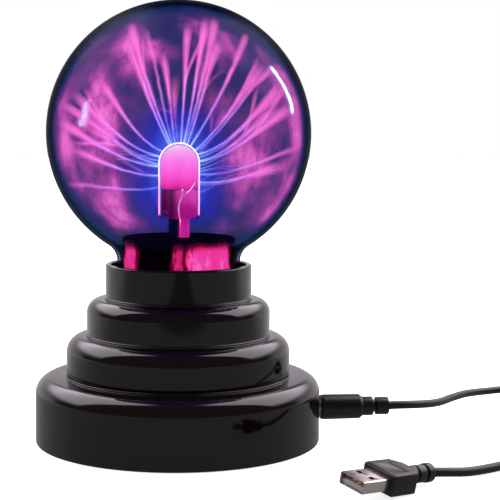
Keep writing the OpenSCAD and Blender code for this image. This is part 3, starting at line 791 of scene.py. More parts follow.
class PLASMA_OT_lead(Operator):
    """Lay the free lead from the base's plug, through its coil, to the USB plug"""
    bl_idname = "plasma.lead"
    bl_label = "Lead"

    def execute(self, context):
        settings = context.scene.lead_settings
        finish = plain_finish(
            "lead_soft_black", tuple(settings.colour), tuple(c * 1.8 for c in settings.colour),
            0.42, scale=1400, bump=0.12, depth=0.00008, specular=0.45)
        path = (smooth_path(CORD_OUT, 5) + [Vector(p) for p in coil_path()]
                + smooth_path(CORD_BACK, 5))
        lead = curve_piece("lead_cord", [[(p, 1) for p in path]],
                           settings.diameter / 2 / MM, resolution=7)
        fit(lead, "lead", "cord_pvc", finish, "cord_run_out", "cord_coil", "cord_run_back")
        self.length = sum((b - a).length for a, b in zip(path, path[1:])) * MM
        self.tie(lead)
        return {"FINISHED"}

    def tie(self, lead):
        """Hook-and-loop strap round the turns, with its free tab"""
        inner, outer, top = COIL_R - COIL_HALF_W - 0.35, COIL_R + COIL_HALF_W + 0.1, 8.5
        strap = block("cord_strap", (inner - 0.6, -2.5, 0.02), (outer + 0.6, 2.5, top))
        bevelled(strap, 1.6, 5, 30)
        edit()
        pick("faces", lambda f: abs(f.normal.y) > 0.9)
        bpy.ops.mesh.delete(type="FACE")
        done()
        bpy.ops.object.modifier_add(type="SOLIDIFY")
        strap.modifiers[-1].thickness = 0.6 * MM
        bpy.ops.object.modifier_apply(modifier=strap.modifiers[-1].name)
        tab = block("strap_tab", (outer + 0.5, -2.5, 1.2), (outer + 5.5, 2.5, 2.2))
        bevelled(tab, 0.35, 3)
        strap = joined("cord_strap", [strap, tab])
        matrix = Matrix.Translation((COIL_CENTRE[0] * MM, COIL_CENTRE[1] * MM, 0)) \
            @ Matrix.Rotation(math.radians(15), 4, "Z")
        apply_place(strap, matrix)
        smooth(strap)
        fit(strap, "lead", "strap_fabric",
            weave_finish("strap_black_weave", (0.006, 0.006, 0.007), (0.03, 0.03, 0.032), 0.5),
            "cord_tie")


# ---------- case ----------

def step(r, top, shoulder):
    """One corner of a step's wall, with its shoulder's rounding"""
    return ((r, top, shoulder),)


class PLASMA_OT_case(Operator):
    """Turn the base, the stepped tower and its collar"""
    bl_idname = "plasma.case"
    bl_label = "Case"

    def execute(self, context):
        settings = context.scene.case_settings
        finish = gloss_case(settings)
        self.base(settings, finish)
        self.tower(settings, finish)
        return {"FINISHED"}

    def base(self, settings, finish):
        lip = LOW_R + PLINTH_OUT
        inside = BASE_R - WALL_T
        under = BASE_TOP_Z - WALL_T
        shell = turned("base_shell", rounded((
            (BORE_R, under, 0), (BORE_R, BASE_TOP_Z + PLINTH_H, 0.25),
            (lip, BASE_TOP_Z + PLINTH_H, 0.35), (lip, BASE_TOP_Z, 0.15),
            (BASE_R, BASE_TOP_Z, 6.5), (BASE_R, FOOT_OUT, 0.3),
            (inside, FOOT_OUT, 0.2), (inside, under, 4.3), (BORE_R, under, 0))),
            settings.steps)
        clear_selection()
        bpy.ops.mesh.primitive_cylinder_add(
            vertices=96, radius=4.65 * MM, depth=12 * MM,
            location=((BASE_R + 0.1) * MM, 0, JACK_Z * MM), rotation=(0, math.pi / 2, 0))
        cut_with(shell, named("jack_cutter"))
        cut_with(shell, block("switch_cutter", (-4.5, BASE_R - 4, SWITCH_Z - 2.2),
                              (4.5, BASE_R + 4, SWITCH_Z + 2.2)))
        smooth(shell, 30)
        posts = []
        for k in range(4):
            a = math.radians(45 + 90 * k)
            clear_selection()
            bpy.ops.mesh.primitive_cylinder_add(
                vertices=40, radius=3.4 * MM, depth=20.9 * MM,
                location=(50 * math.cos(a) * MM, 50 * math.sin(a) * MM, 13.95 * MM))
            posts.append(bevelled(named("post"), 0.3, 2))
        shell = joined("base_shell", [shell] + posts)
        fit(shell, "root", "base_plastic", finish, "base_housing")

    def tower(self, settings, finish):
        low, high, collar = LOW_R, HIGH_R, COLLAR_R
        foot = BASE_TOP_Z + PLINTH_H
        outline = rounded((
            (BORE_R - 2.4, 22.7, 0), (BORE_R - 0.2, 22.7, 0.3), (BORE_R - 0.2, foot + 0.05, 0.1),
            (low - 0.7, foot + 0.05, 0.05), (low - 0.7, foot + GROOVE_H, 0.1),
            (low, foot + GROOVE_H, 0.25), (low, 43.6, 6.5),
            (high + PLINTH_OUT, 43.6, 0.2), (high + PLINTH_OUT, 43.6 + PLINTH_H, 0.35),
            (high, 43.6 + PLINTH_H, 0.15), (high, 58.7, 5.5),
            (collar + PLINTH_OUT, 58.7, 0.2), (collar + PLINTH_OUT, 58.7 + PLINTH_H, 0.35),
            (collar, 58.7 + PLINTH_H, 0.15), (collar, COLLAR_Z, 0.9),
            (collar - WALL_T, COLLAR_Z, 0.6), (collar - WALL_T, 61.9, 0.2),
            (16, 61.9, 0.3), (16, 59.7, 0), (collar - 2 * WALL_T, 59.7, 0),
            (collar - 2 * WALL_T, 56.5, 0.3), (high - WALL_T, 56.5, 3.3),
            (high - WALL_T, 41.4, 0.3), (low - 2.8, 41.4, 4.3), (low - 2.8, 29.5, 0),
            (BORE_R - 2.4, 29.5, 0), (BORE_R - 2.4, 22.7, 0)))
        tower = turned("tower_shell", outline, settings.steps)
        fit(tower, "root", "base_plastic", finish, "tier_tower")


# ---------- glass and stem ----------

def globe_outline(r, neck, blend, foot, steps=96):
    """Outline of a globe from the foot of its neck to its top"""
    blend_z = GLOBE_Z - math.sqrt((r + blend) ** 2 - (neck + blend) ** 2)
    touch = math.atan2(neck + blend, GLOBE_Z - blend_z)
    points = [(neck, foot)]
    for k in range(13):
        a = math.pi - (math.pi / 2 - touch) * k / 12
        points.append((neck + blend + blend * math.cos(a), blend_z + blend * math.sin(a)))
    for k in range(1, steps + 1):
        a = touch + (math.pi - touch) * k / steps
        points.append((r * math.sin(a), GLOBE_Z - r * math.cos(a)))
    points[-1] = (0, GLOBE_Z + r)
    return points


def stem_outline(inset, foot):
    """Outline of the stem from its foot to the top of its dome"""
    r, neck = STEM_R - inset, STEM_NECK_R - inset
    low = STEM_STEP_Z + inset
    points = rounded(((neck, foot, 0), (neck, low, 0.6), (r, low, STEM_CORNER_R - inset),
                      (r, DOME_Z, 0)))
    points += [(r * math.cos(a), DOME_Z + r * math.sin(a))
               for a in (math.pi / 2 * k / 20 for k in range(1, 20))]
    return points + [(0, DOME_Z + r)]


class PLASMA_OT_glass(Operator):
    """Turn the globe and the stem that stands in it"""
    bl_idname = "plasma.glass"
    bl_label = "Glass"

    def execute(self, context):
        steps = context.scene.case_settings.steps
        inner = globe_outline(GLOBE_R - GLASS_T, NECK_R - GLASS_T, NECK_BLEND_R + GLASS_T,
                              NECK_FOOT_Z)
        outer = globe_outline(GLOBE_R, NECK_R, NECK_BLEND_R, NECK_FOOT_Z)
        globe = turned("globe_glass", outer + inner[::-1] + [outer[0]], steps, 60)
        fit(globe, "root", "globe_glass", glass_finish(), "glass_globe")
        bpy.data.collections["glinting_glass"].objects.link(globe)
        self.stem(context.scene.plasma_settings)
        self.wool()
        self.cup()
        return {"FINISHED"}

    def stem(self, plasma):
        outer = stem_outline(0, 66.5)
        inner = stem_outline(STEM_T, 66.5)
        flare = rounded(((NECK_R - GLASS_T - 0.1, 62, 0), (NECK_R - GLASS_T - 0.1, 63.2, 0.4),
                         (STEM_NECK_R, 63.2, 4), (STEM_NECK_R, 69, 0)))
        stem = turned("stem_glass", flare + outer[1:] + inner[::-1][:-1]
                      + [(STEM_NECK_R - STEM_T, 62), flare[0]], 128, 60)
        n = Nodes("stem_glass_glow")
        z = n.add("ShaderNodeSeparateXYZ", {"Vector": n.place}).outputs["Z"]
        lit = n.span(z, 0.0925, 0.0938, smooth_step=True)
        edge = n.math("MULTIPLY", n.span(n.facing(), 0.42, 0.8, smooth_step=True),
                      self.outer_wall(n))
        warm = n.ramp(n.span(z, 0.09, 0.123), (0.0, (1.0, 0.2, 0.75)), (0.45, (1.0, 0.4, 0.85)),
                      (0.8, (1.0, 0.8, 0.98)), (1.0, (1.0, 0.7, 0.95)))
        wisps = n.span(n.noise(160, 4), 0.35, 0.7, 0.7, 1.15)
        n.set(base_color=(0.01, 0.004, 0.012, 1), roughness=0.04, specular_ior_level=0.4,
              emission_color=warm,
              emission_strength=n.math("MULTIPLY", n.math("MULTIPLY", lit, edge),
                                       n.math("MULTIPLY", wisps, 1.9 * plasma.brightness)),
              alpha=n.math("ADD", n.math("MULTIPLY", edge, 0.75), 0.05, clamp=True))
        fit(stem, "root", "stem_glass", n.material, "stem_tube")

    def outer_wall(self, n):
        """1 on the stem's outside and 0 on its inside"""
        x, y, z = n.add("ShaderNodeSeparateXYZ", {"Vector": n.place}).outputs
        over = n.math("MAXIMUM", n.math("SUBTRACT", z, DOME_Z * MM), 0.0)
        spot = n.add("ShaderNodeCombineXYZ", {"X": x, "Y": y, "Z": over}).outputs[0]
        away = n.add("ShaderNodeVectorMath", {0: spot}, operation="LENGTH").outputs["Value"]
        return n.span(away, (STEM_R - 0.6) * MM, (STEM_R - 0.3) * MM)

    def wool(self):
        """Glowing wool that fills the dome"""
        r = STEM_R - STEM_T - 0.1
        outline = rounded(((0, SLEEVE_TOP_Z + 0.1, 0), (r, SLEEVE_TOP_Z + 0.1, 1.6),
                           (r, DOME_Z, 0)))
        outline += [(r * math.cos(a), DOME_Z + r * math.sin(a))
                    for a in (math.pi / 2 * k / 24 for k in range(1, 25))]
        wool = turned("electrode_wool_glow", outline, 96, 80)
        n = Nodes("wool_hot_pink")
        z = n.add("ShaderNodeSeparateXYZ", {"Vector": n.place}).outputs["Z"]
        strands = n.noise(260, 6, 0.65, (1, 1, 0.35))
        level = n.math("ADD", n.span(z, 0.103, 0.1222),
                       n.span(strands, 0.3, 0.7, -0.05, 0.05), clamp=True)
        colour = n.ramp(level, (0.0, (0.3, 0.005, 0.1)), (0.16, (0.85, 0.03, 0.35)),
                        (0.4, (1.0, 0.1, 0.62)), (0.68, (1.0, 0.22, 0.8)),
                        (0.86, (0.95, 0.42, 0.78)), (1.0, (1.0, 0.62, 0.85)))
        n.set(base_color=(0.3, 0.05, 0.15, 1), roughness=0.8, emission_color=colour,
              emission_strength=1.15)
        n.bump(strands, 0.8, 0.0006)
        fit(wool, "root", "electrode_wool", n.material, "electrode_wool")

    def cup(self):
        """Dark sheet with painted shade for the bottom of the globe, and gas glow painted on it in
        the neck
        """
        cup = turned("neck_shade", rounded((
            (STEM_NECK_R + 0.3, 84.2, 0), (23.2, 84.2, 1.2), (23.2, 70, 0), (22.4, 69.5, 0),
            (22.4, 83, 0.6), (STEM_NECK_R + 0.3, 83, 0), (STEM_NECK_R + 0.3, 84.2, 0))),
            192, 60)
        n = Nodes("neck_glow_patches")
        part = n.add("ShaderNodeSeparateXYZ", {"Vector": n.place})
        x, y, z = part.outputs
        around = n.math("ARCTAN2", y, x)
        rough = n.noise(170, 5, 0.65, (1, 1, 0.4))
        wobble = n.span(rough, 0.2, 0.8, -0.22, 0.22)
        turn = n.math("ADD", around, wobble)
        total = None
        for middle, half, power in ((-2.70, 0.32, 0.85), (-1.02, 0.5, 1.0), (-1.66, 0.13, 0.75),
                                    (0.35, 0.4, 1.0), (1.6, 0.45, 0.9), (2.5, 0.22, 0.8)):
            gap = n.math("ABSOLUTE", n.math("SUBTRACT", turn, middle))
            patch = n.math("MULTIPLY", n.span(gap, half + 0.04, half - 0.16, smooth_step=True),
                           power)
            total = patch if total is None else n.math("MAXIMUM", total, patch)
        high = n.math("ADD", z, n.math("MULTIPLY", wobble, 0.006))
        total = n.math("MULTIPLY", total, n.span(high, 0.0836, 0.0792, smooth_step=True))
        colour = n.ramp(n.math("MULTIPLY", total, n.span(rough, 0.25, 0.7, 0.55, 1.0)),
                        (0.0, (0.001, 0.0, 0.001)), (0.3, (0.2, 0.002, 0.04)),
                        (0.6, (0.85, 0.02, 0.2)), (0.82, (0.98, 0.06, 0.45)),
                        (1.0, (1.0, 0.3, 0.8)))
        n.set(base_color=(0.001, 0.0005, 0.001, 1), roughness=0.8, emission_color=colour,
              emission_strength=1.0, specular_ior_level=0.0)
        fit(cup, "root", "stem_glass", n.material)


# ---------- plasma ----------

SIDE = Vector((0.990, -0.139, 0))      # to the right, as the ball is usually looked at
BACK = Vector((0.139, 0.990, 0))
UP = Vector((0, 0, 1))
CENTRE = Vector((0, 0, GLOBE_Z))
GAS_R = 51.8

# Strong streamers: bearing clockwise from straight up, lean towards the back, width of the
# plume where it meets the glass, brightness, and the number of fine branches
STREAMERS = (
    (-30, 22, 5.0, 1.0, 2), (-24, 6, 2.6, 0.5, 0), (-16, 46, 3.4, 0.7, 1),
    (3, 24, 3.2, 1.0, 1), (12, 14, 3.0, 0.9, 1), (21, 32, 4.2, 1.0, 1),
    (33, 4, 2.2, 0.4, 0), (50, 28, 4.6, 0.8, 1), (65, 20, 5.6, 0.8, 1),
    (75, 34, 7.0, 1.0, 2), (-58, 34, 4.4, 0.9, 1),
    (-70, 16, 4.2, 0.8, 1), (-82, 34, 5.6, 1.0, 2), (-98, 20, 4.2, 0.5, 1),
    (108, 26, 4.4, 0.5, 1), (-10, 62, 4.0, 0.5, 1), (60, 66, 4.0, 0.4, 1),
    (76, -20, 4.5, 0.5, 1), (-84, -20, 4.5, 0.5, 1),
)
# Pink clouds on the haze: bearing, lean, size in degrees and strength
CLOUDS = (
    (-68, 18, 8, 1.2), (-80, 17, 8, 1.3), (-93, 16, 8, 1.3), (-106, 17, 8, 1.2),
    (-119, 19, 7, 0.9), (-70, 41, 9, 1.4), (-84, 46, 9, 1.3), (-100, 44, 10, 1.3),
    (-112, 40, 9, 1.1), (-122, 38, 10, 2.4), (-131, 32, 10, 2.2), (-142, 28, 9, 1.6),
    (-57, 27, 7, 0.7), (-33, 31, 8, 1.2), (-40, 44, 6, 0.6), (-18, 44, 7, 0.8),
    (5, 29, 7, 1.0), (24, 35, 8, 1.1), (35, 36, 7, 0.5), (44, 22, 6, 0.6),
    (54, 33, 8, 0.9), (66, 34, 9, 1.0), (70, 28, 9, 1.5), (78, 22, 9, 1.6),
    (88, 18, 9, 1.4), (62, 16, 6, 0.6), (100, 20, 8, 0.9), (123, 54, 12, 3.2),
    (134, 46, 9, 1.6), (114, 17, 9, 0.9), (130, 20, 9, 0.9), (-20, 14, 8, 0.5),
    (8, 10, 8, 0.5), (-44, 12, 8, 0.5), (160, 32, 7, 0.4), (172, 60, 8, 0.5),
    (30, -34, 12, 0.7), (-50, -40, 14, 0.8), (84, -46, 14, 0.7), (-100, -36, 14, 0.7),
    (130, -30, 12, 0.6), (-140, -44, 12, 0.7), (0, -56, 10, 0.5), (50, -66, 10, 0.5),
)


def bearing(turn, lean):
    """Direction from a bearing clockwise from up and a lean towards the back, in degrees"""
    turn, lean = math.radians(turn), math.radians(lean)
    flat = SIDE * math.sin(turn) + UP * math.cos(turn)
    return (flat * math.cos(lean) + BACK * math.sin(lean)).normalized()


def on_stem(direction):
    """Where a streamer with this direction leaves the stem, and the way that it leaves"""
    if direction.z > 0.45:
        return Vector((0, 0, DOME_Z)) + direction * STEM_R, direction
    out = Vector((direction.x, direction.y, 0)).normalized()
    height = DOME_Z - 3 + direction.z * 17
    return Vector((0, 0, height)) + out * STEM_R, (out + direction).normalized()


def to_glass(root, direction):
    """Where a ray from the globe's centre meets the inside of the gas"""
    return CENTRE + direction * GAS_R


def strand(root, leaving, end, rng, wander, parts=16):
    """Points of one wandering streamer from the stem to the glass"""
    reach = (end - root).length
    first = root + leaving * reach * 0.34
    second = root.lerp(end, 0.68) + Vector(
        (rng.uniform(-1, 1), rng.uniform(-1, 1), rng.uniform(-0.4, 1))) * wander
    path = []
    for k in range(parts + 1):
        t = k / parts
        s = 1 - t
        spot = (root * s ** 3 + first * 3 * s * s * t + second * 3 * s * t * t + end * t ** 3)
        jitter = Vector((rng.uniform(-1, 1), rng.uniform(-1, 1), rng.uniform(-1, 1)))
        path.append(spot + jitter * wander * 0.05 * math.sin(math.pi * t))
    return path


def tapered(path, widths):
    """Path points with a radius read from a list of (share of length, radius)"""
    spots = []
    for k, place in enumerate(path):
        t = k / (len(path) - 1)
        for (t0, w0), (t1, w1) in zip(widths, widths[1:]):
            if t <= t1:
                spots.append((place, w0 + (w1 - w0) * (t - t0) / (t1 - t0)))
                break
    return spots


class PLASMA_OT_plasma(Operator):
    """Fill the globe with streamers, their soft sheaths and plumes, a halo and haze"""
    bl_idname = "plasma.plasma"
    bl_label = "Plasma"

    def execute(self, context):
        settings = context.scene.plasma_settings
        rng = random.Random(settings.seed)
        cores, fine, sheaths, plumes, ends = [], [], [], [], []
        for turn, lean, plume, power, branches in STREAMERS:
            way = bearing(turn, lean)
            root, leaving = on_stem(way)
            end = to_glass(root, way)
            path = strand(root, leaving, end, rng, 2.2)
            cores.append(tapered(path, ((0, 0.34), (0.5, 0.22 + 0.1 * power), (1, 0.12))))
            sheaths.append(tapered(path, ((0, 0.9), (0.3, 0.8), (0.7, 1.5), (1, 2.6))))
            plumes.append(tapered(path[4:], ((0, 0.3), (0.35, plume * 0.22),
                                             (0.8, plume * 0.62), (1, plume * 0.8))))
            ends.append((way, 2 + plume * 1.0, 0.6 * power))
            fork = path[7]
            for _ in range(branches):
                tilt = Vector((rng.gauss(0, 1), rng.gauss(0, 1), rng.gauss(0, 1))) * 0.13
                branch_way = (way + tilt).normalized()
                tip = to_glass(root, branch_way)
                branch = strand(fork, (path[8] - path[7]).normalized(), tip, rng, 1.2, 10)
                fine.append(tapered(branch, ((0, 0.2), (1, 0.1))))
                sheaths.append(tapered(branch, ((0, 0.6), (1, 1.5))))
                ends.append((branch_way, 4, 0.3))
        for k in range(settings.thin_streamers):
            height = 1 - 1.45 * (k + 0.5) / settings.thin_streamers
            around = k * math.pi * (3 - math.sqrt(5)) + rng.uniform(-0.25, 0.25)
            flat = math.sqrt(1 - height * height)
            way = Vector((flat * math.cos(around), flat * math.sin(around), height))
            if way.dot(BACK) < -0.3:
                continue
            root, leaving = on_stem(way)
            path = strand(root, leaving, to_glass(root, way), rng, 3.5)
            fine.append(tapered(path, ((0, 0.22), (0.5, 0.14), (1, 0.08))))
            sheaths.append(tapered(path, ((0, 0.6), (0.6, 0.9), (1, 1.8))))
            if k % 3 == 0:
                plumes.append(tapered(path[7:], ((0, 0.3), (1, rng.uniform(2.5, 5.5)))))
                ends.append((way, rng.uniform(5, 9), 0.35))
        self.tendrils(rng, fine)
        root_c, mid_c, end_c = (tuple(c) for c in (
            settings.root_colour, settings.middle_colour, settings.end_colour))
        power = settings.brightness
        white = (0.75, 0.85, 1.0)
        pale = (0.95, 0.55, 1.0)
        for name, splines, stops, strength, alpha, soft in (
                ("streamer_cores", cores,
                 ((0.16, white), (0.27, (0.3, 0.38, 1.0)), (0.45, (0.6, 0.3, 1.0)),
                  (0.75, (1.0, 0.3, 0.8)), (1.0, (1.0, 0.26, 0.7))), 1.5, 0.62, 1.1),
                ("streamer_threads", fine,
                 ((0.16, (0.45, 0.6, 1.0)), (0.34, (0.25, 0.22, 0.95)), (0.55, pale),
                  (1.0, (1.0, 0.3, 0.75))), 1.1, 0.42, 1.2),
                ("streamer_sheaths", sheaths,
                 ((0.16, (0.16, 0.26, 1.0)), (0.36, (0.2, 0.12, 0.95)), (0.55, mid_c),
                  (0.85, end_c), (1.0, end_c)), 1.5, 0.3, 1.7),
                ("streamer_plumes", plumes,
                 ((0.3, (0.3, 0.1, 0.75)), (0.5, (0.75, 0.13, 0.7)), (0.8, (0.95, 0.16, 0.66)),
                  (1.0, (1.0, 0.2, 0.7))), 1.1, 0.4, 1.9)):
            piece = as_mesh(curve_piece(name, splines, 1, 3))
            smooth(piece, 80)
            fit(piece, "root", "globe_glass",
                glow_finish(name + "_light", stops, strength * power, alpha, soft))
        self.halo(power)
        self.arc(power)
        self.haze(settings, ends)
        return {"FINISHED"}

    def tendrils(self, rng, fine):
        """Short hair-like sparks that hug the stem"""
        for k in range(40):
            around = k * 2.4 + rng.uniform(-0.3, 0.3)
            out = Vector((math.cos(around), math.sin(around), 0))
            height = rng.uniform(101, 117)
            if out.dot(BACK) < -0.1:
                continue
            root = Vector((0, 0, height)) + out * STEM_R
            tip = root + out * rng.uniform(9, 19) + UP * rng.uniform(0, 9)
            path = strand(root, (out + UP * 0.2).normalized(), tip, rng, 2.4, 9)
            fine.append(tapered(path, ((0, 0.2), (1, 0.06))))

    def halo(self, power):
        """Blue light round the stem, in shells that grow fainter outwards"""
        for name, r, low, high, colours, strength, alpha in (
                ("halo_inner", 14, 92, 131, ((0.1, 0.22, 1.0), (0.04, 0.07, 0.9)), 1.2, 0.8),
                ("halo_middle", 22, 86, 139, ((0.03, 0.07, 1.0), (0.02, 0.03, 0.75)), 0.95, 0.8),
                ("halo_outer", 30, 77, 144, ((0.02, 0.03, 0.7), (0.02, 0.025, 0.5)), 0.8, 0.72)):
            middle, half = (low + high) / 2, (high - low) / 2
            outline = []
            for k in range(33):
                a = math.pi * k / 32
                outline.append((r * math.sin(a) ** 0.7, middle - half * math.cos(a)))
            outline[-1] = (0, high)
            halo = turned(name, outline, 96, 80)
            fit(halo, "root", "globe_glass", glow_finish(
                name + "_light", ((0.15, colours[0]), (0.5, colours[1]), (1.0, colours[1])),
                strength * power, alpha, 2.2, True))

    def arc(self, power):
        """Bright arc that runs down inside the stem, and the gas round it"""
        def place(side, height, depth):
            return SIDE * side - BACK * depth + UP * height
        main = smooth_path([place(1.1, 107.4, 6.6), place(1.6, 104.6, 6.4),
                            place(1.7, 101.6, 6.2), place(0.7, 99.0, 6.2),
                            place(0.2, 96.4, 6.2), place(0.4, 93.4, 6.0),
                            place(0.8, 90.6, 5.2), place(0.7, 86.0, 4.9),
                            place(0.5, 80.0, 4.8)], 4)
        side = smooth_path([place(1.9, 101.4, 6.2), place(3.4, 102.4, 6.3),
                            place(5.2, 104.2, 5.4), place(6.6, 106.6, 3.6)], 4)
        arc = as_mesh(curve_piece("stem_arc", [
            tapered(main, ((0, 0.2), (0.35, 0.34), (0.6, 0.3), (1, 0.1))),
            tapered(side, ((0, 0.24), (1, 0.12)))], 1, 3))
        smooth(arc, 80)
        n = Nodes("stem_arc_light")
        z = n.add("ShaderNodeSeparateXYZ", {"Vector": n.place}).outputs["Z"]
        colour = n.ramp(n.span(z, 0.079, 0.107), (0.0, (0.5, 0.0, 0.08)),
                        (0.35, (1.0, 0.05, 0.45)), (0.5, (1.0, 0.4, 0.9)),
                        (1.0, (1.0, 0.65, 1.0)))
        flicker = n.span(n.noise(300, 2), 0.3, 0.7, 0.8, 1.2)
        n.set(base_color=(0, 0, 0, 1), specular_ior_level=0.0, emission_color=colour,
              emission_strength=n.math("MULTIPLY", flicker, 1.3 * power))
        fit(arc, "root", "stem_glass", n.material)
        outline = rounded(((5.0, 91.6, 0), (7.3, 92.4, 1), (7.3, 103.4, 0.8), (4.8, 103.4, 0),
                           (4.8, 92.4, 0), (5.0, 91.6, 0)))
        gas = turned("stem_gas", outline, 96, 80)
        n = Nodes("stem_gas_light")
        part = n.add("ShaderNodeSeparateXYZ", {"Vector": n.place}).outputs
        drift = n.noise(140, 3, 0.5, (1, 1, 0.4))
        level = n.math("ADD", n.span(part["Z"], 0.091, 0.1034),
                       n.span(drift, 0.3, 0.7, -0.25, 0.25), clamp=True)
        colour = n.ramp(level, (0.0, (0.45, 0.005, 0.25)), (0.5, (0.6, 0.01, 0.36)),
                        (1.0, (1.0, 0.08, 0.62)))
        right = n.span(part["X"], -0.0035, 0.0015, 0.08, 0.9, True)
        n.set(base_color=(0, 0, 0, 1), specular_ior_level=0.0, emission_color=colour,
              emission_strength=0.8 * power, alpha=right)
        fit(gas, "root", "stem_glass", n.material)

    def haze(self, settings, ends):
        """Gas just inside the glass, brighter where plumes and clouds reach it"""
        outline = [(22.9, 69), (23.6, 69)] + globe_outline(
            GLOBE_R - GLASS_T - 0.4, NECK_R - GLASS_T - 0.4, NECK_BLEND_R + GLASS_T + 0.4,
            70, 100)
        haze = turned("gas_haze", outline, 176, 80)
        marks = ends + [(bearing(turn, lean), size * 0.95, power * 0.9)
                        for turn, lean, size, power in CLOUDS]
        layer = haze.data.attributes.new("clouds", "FLOAT", "POINT")
        for vertex, value in zip(haze.data.vertices, layer.data):
            way = (vertex.co / MM - CENTRE).normalized()
            total = 0
            for mark, size, power in marks:
                near = way.dot(mark)
                if near > 0.8:
                    away = math.degrees(math.acos(min(1, near))) / size
                    total += power * math.exp(-away * away * 1.2)
            value.value = 1 - math.exp(-1.4 * total)
        fit(haze, "root", "globe_glass", gas_finish(settings))


# ---------- plugs ----------

class PLASMA_OT_base_plug(Operator):
    """Turn the barrel plug that sits in the base's jack, and its ringed sleeve"""
    bl_idname = "plasma.base_plug"
    bl_label = "Base plug"

    def execute(self, context):
        colour = tuple(context.scene.lead_settings.colour)
        finish = plain_finish("plug_moulded_black", colour, tuple(c * 1.7 for c in colour),
                              0.3, scale=900, bump=0.1, depth=0.0001, specular=0.5)
        body = turned("plug_body", rounded((
            (BARREL_R, 0, 0), (PLUG_R - 0.3, 0, 0.5), (PLUG_R, 1.4, 1.0),
            (PLUG_R - 0.1, PLUG_L - 1.5, 0.6), (PLUG_R - 1.3, PLUG_L, 0.4),
            (1.2, PLUG_L, 0), (1.2, 3.1, 0), (BARREL_R, 3.1, 0), (BARREL_R, 0, 0))), 160)
        lay_along_x(body, PLUG_FACE_X, JACK_Z)
        fit(body, "lead", "plug_pvc", finish, "dc_plug_body")
        relief = turned("plug_relief", rounded((
            (1.2, 0, 0), (4, 0, 0.25), (4, 4.3, 0.35), (2.3, 4.5, 0.2), (2.3, 5.5, 0.2),
            (3.75, 5.7, 0.3), (3.75, RELIEF_L, 0.5), (1.9, RELIEF_L, 0.15),
            (1.75, RELIEF_L - 1, 0), (1.2, RELIEF_L - 1, 0), (1.2, 0, 0))), 128)
        lay_along_x(relief, PLUG_TAIL_X, JACK_Z)
        fit(relief, "lead", "plug_pvc", finish, "dc_plug_relief")
        barrel = turned("plug_barrel", rounded((
            (1.9, 0, 0.15), (BARREL_R, 0, 0.35), (BARREL_R, 1.1, 0.1), (BARREL_R - 0.12, 1.2, 0.1),
            (BARREL_R - 0.12, 1.6, 0.1), (BARREL_R, 1.7, 0.1), (BARREL_R, BARREL_L + 3, 0),
            (1.9, BARREL_L + 3, 0), (1.9, 0, 0))), 128)
        lay_along_x(barrel, PLUG_FACE_X - BARREL_L, JACK_Z)
        fit(barrel, "lead", "plated_metal",
            banded_finish("barrel_plated", (0.72, 0.7, 0.67), (0.5, 0.48, 0.46), 0.2, 0.15, "X",
                          1.0), "dc_plug_barrel")
        return {"FINISHED"}


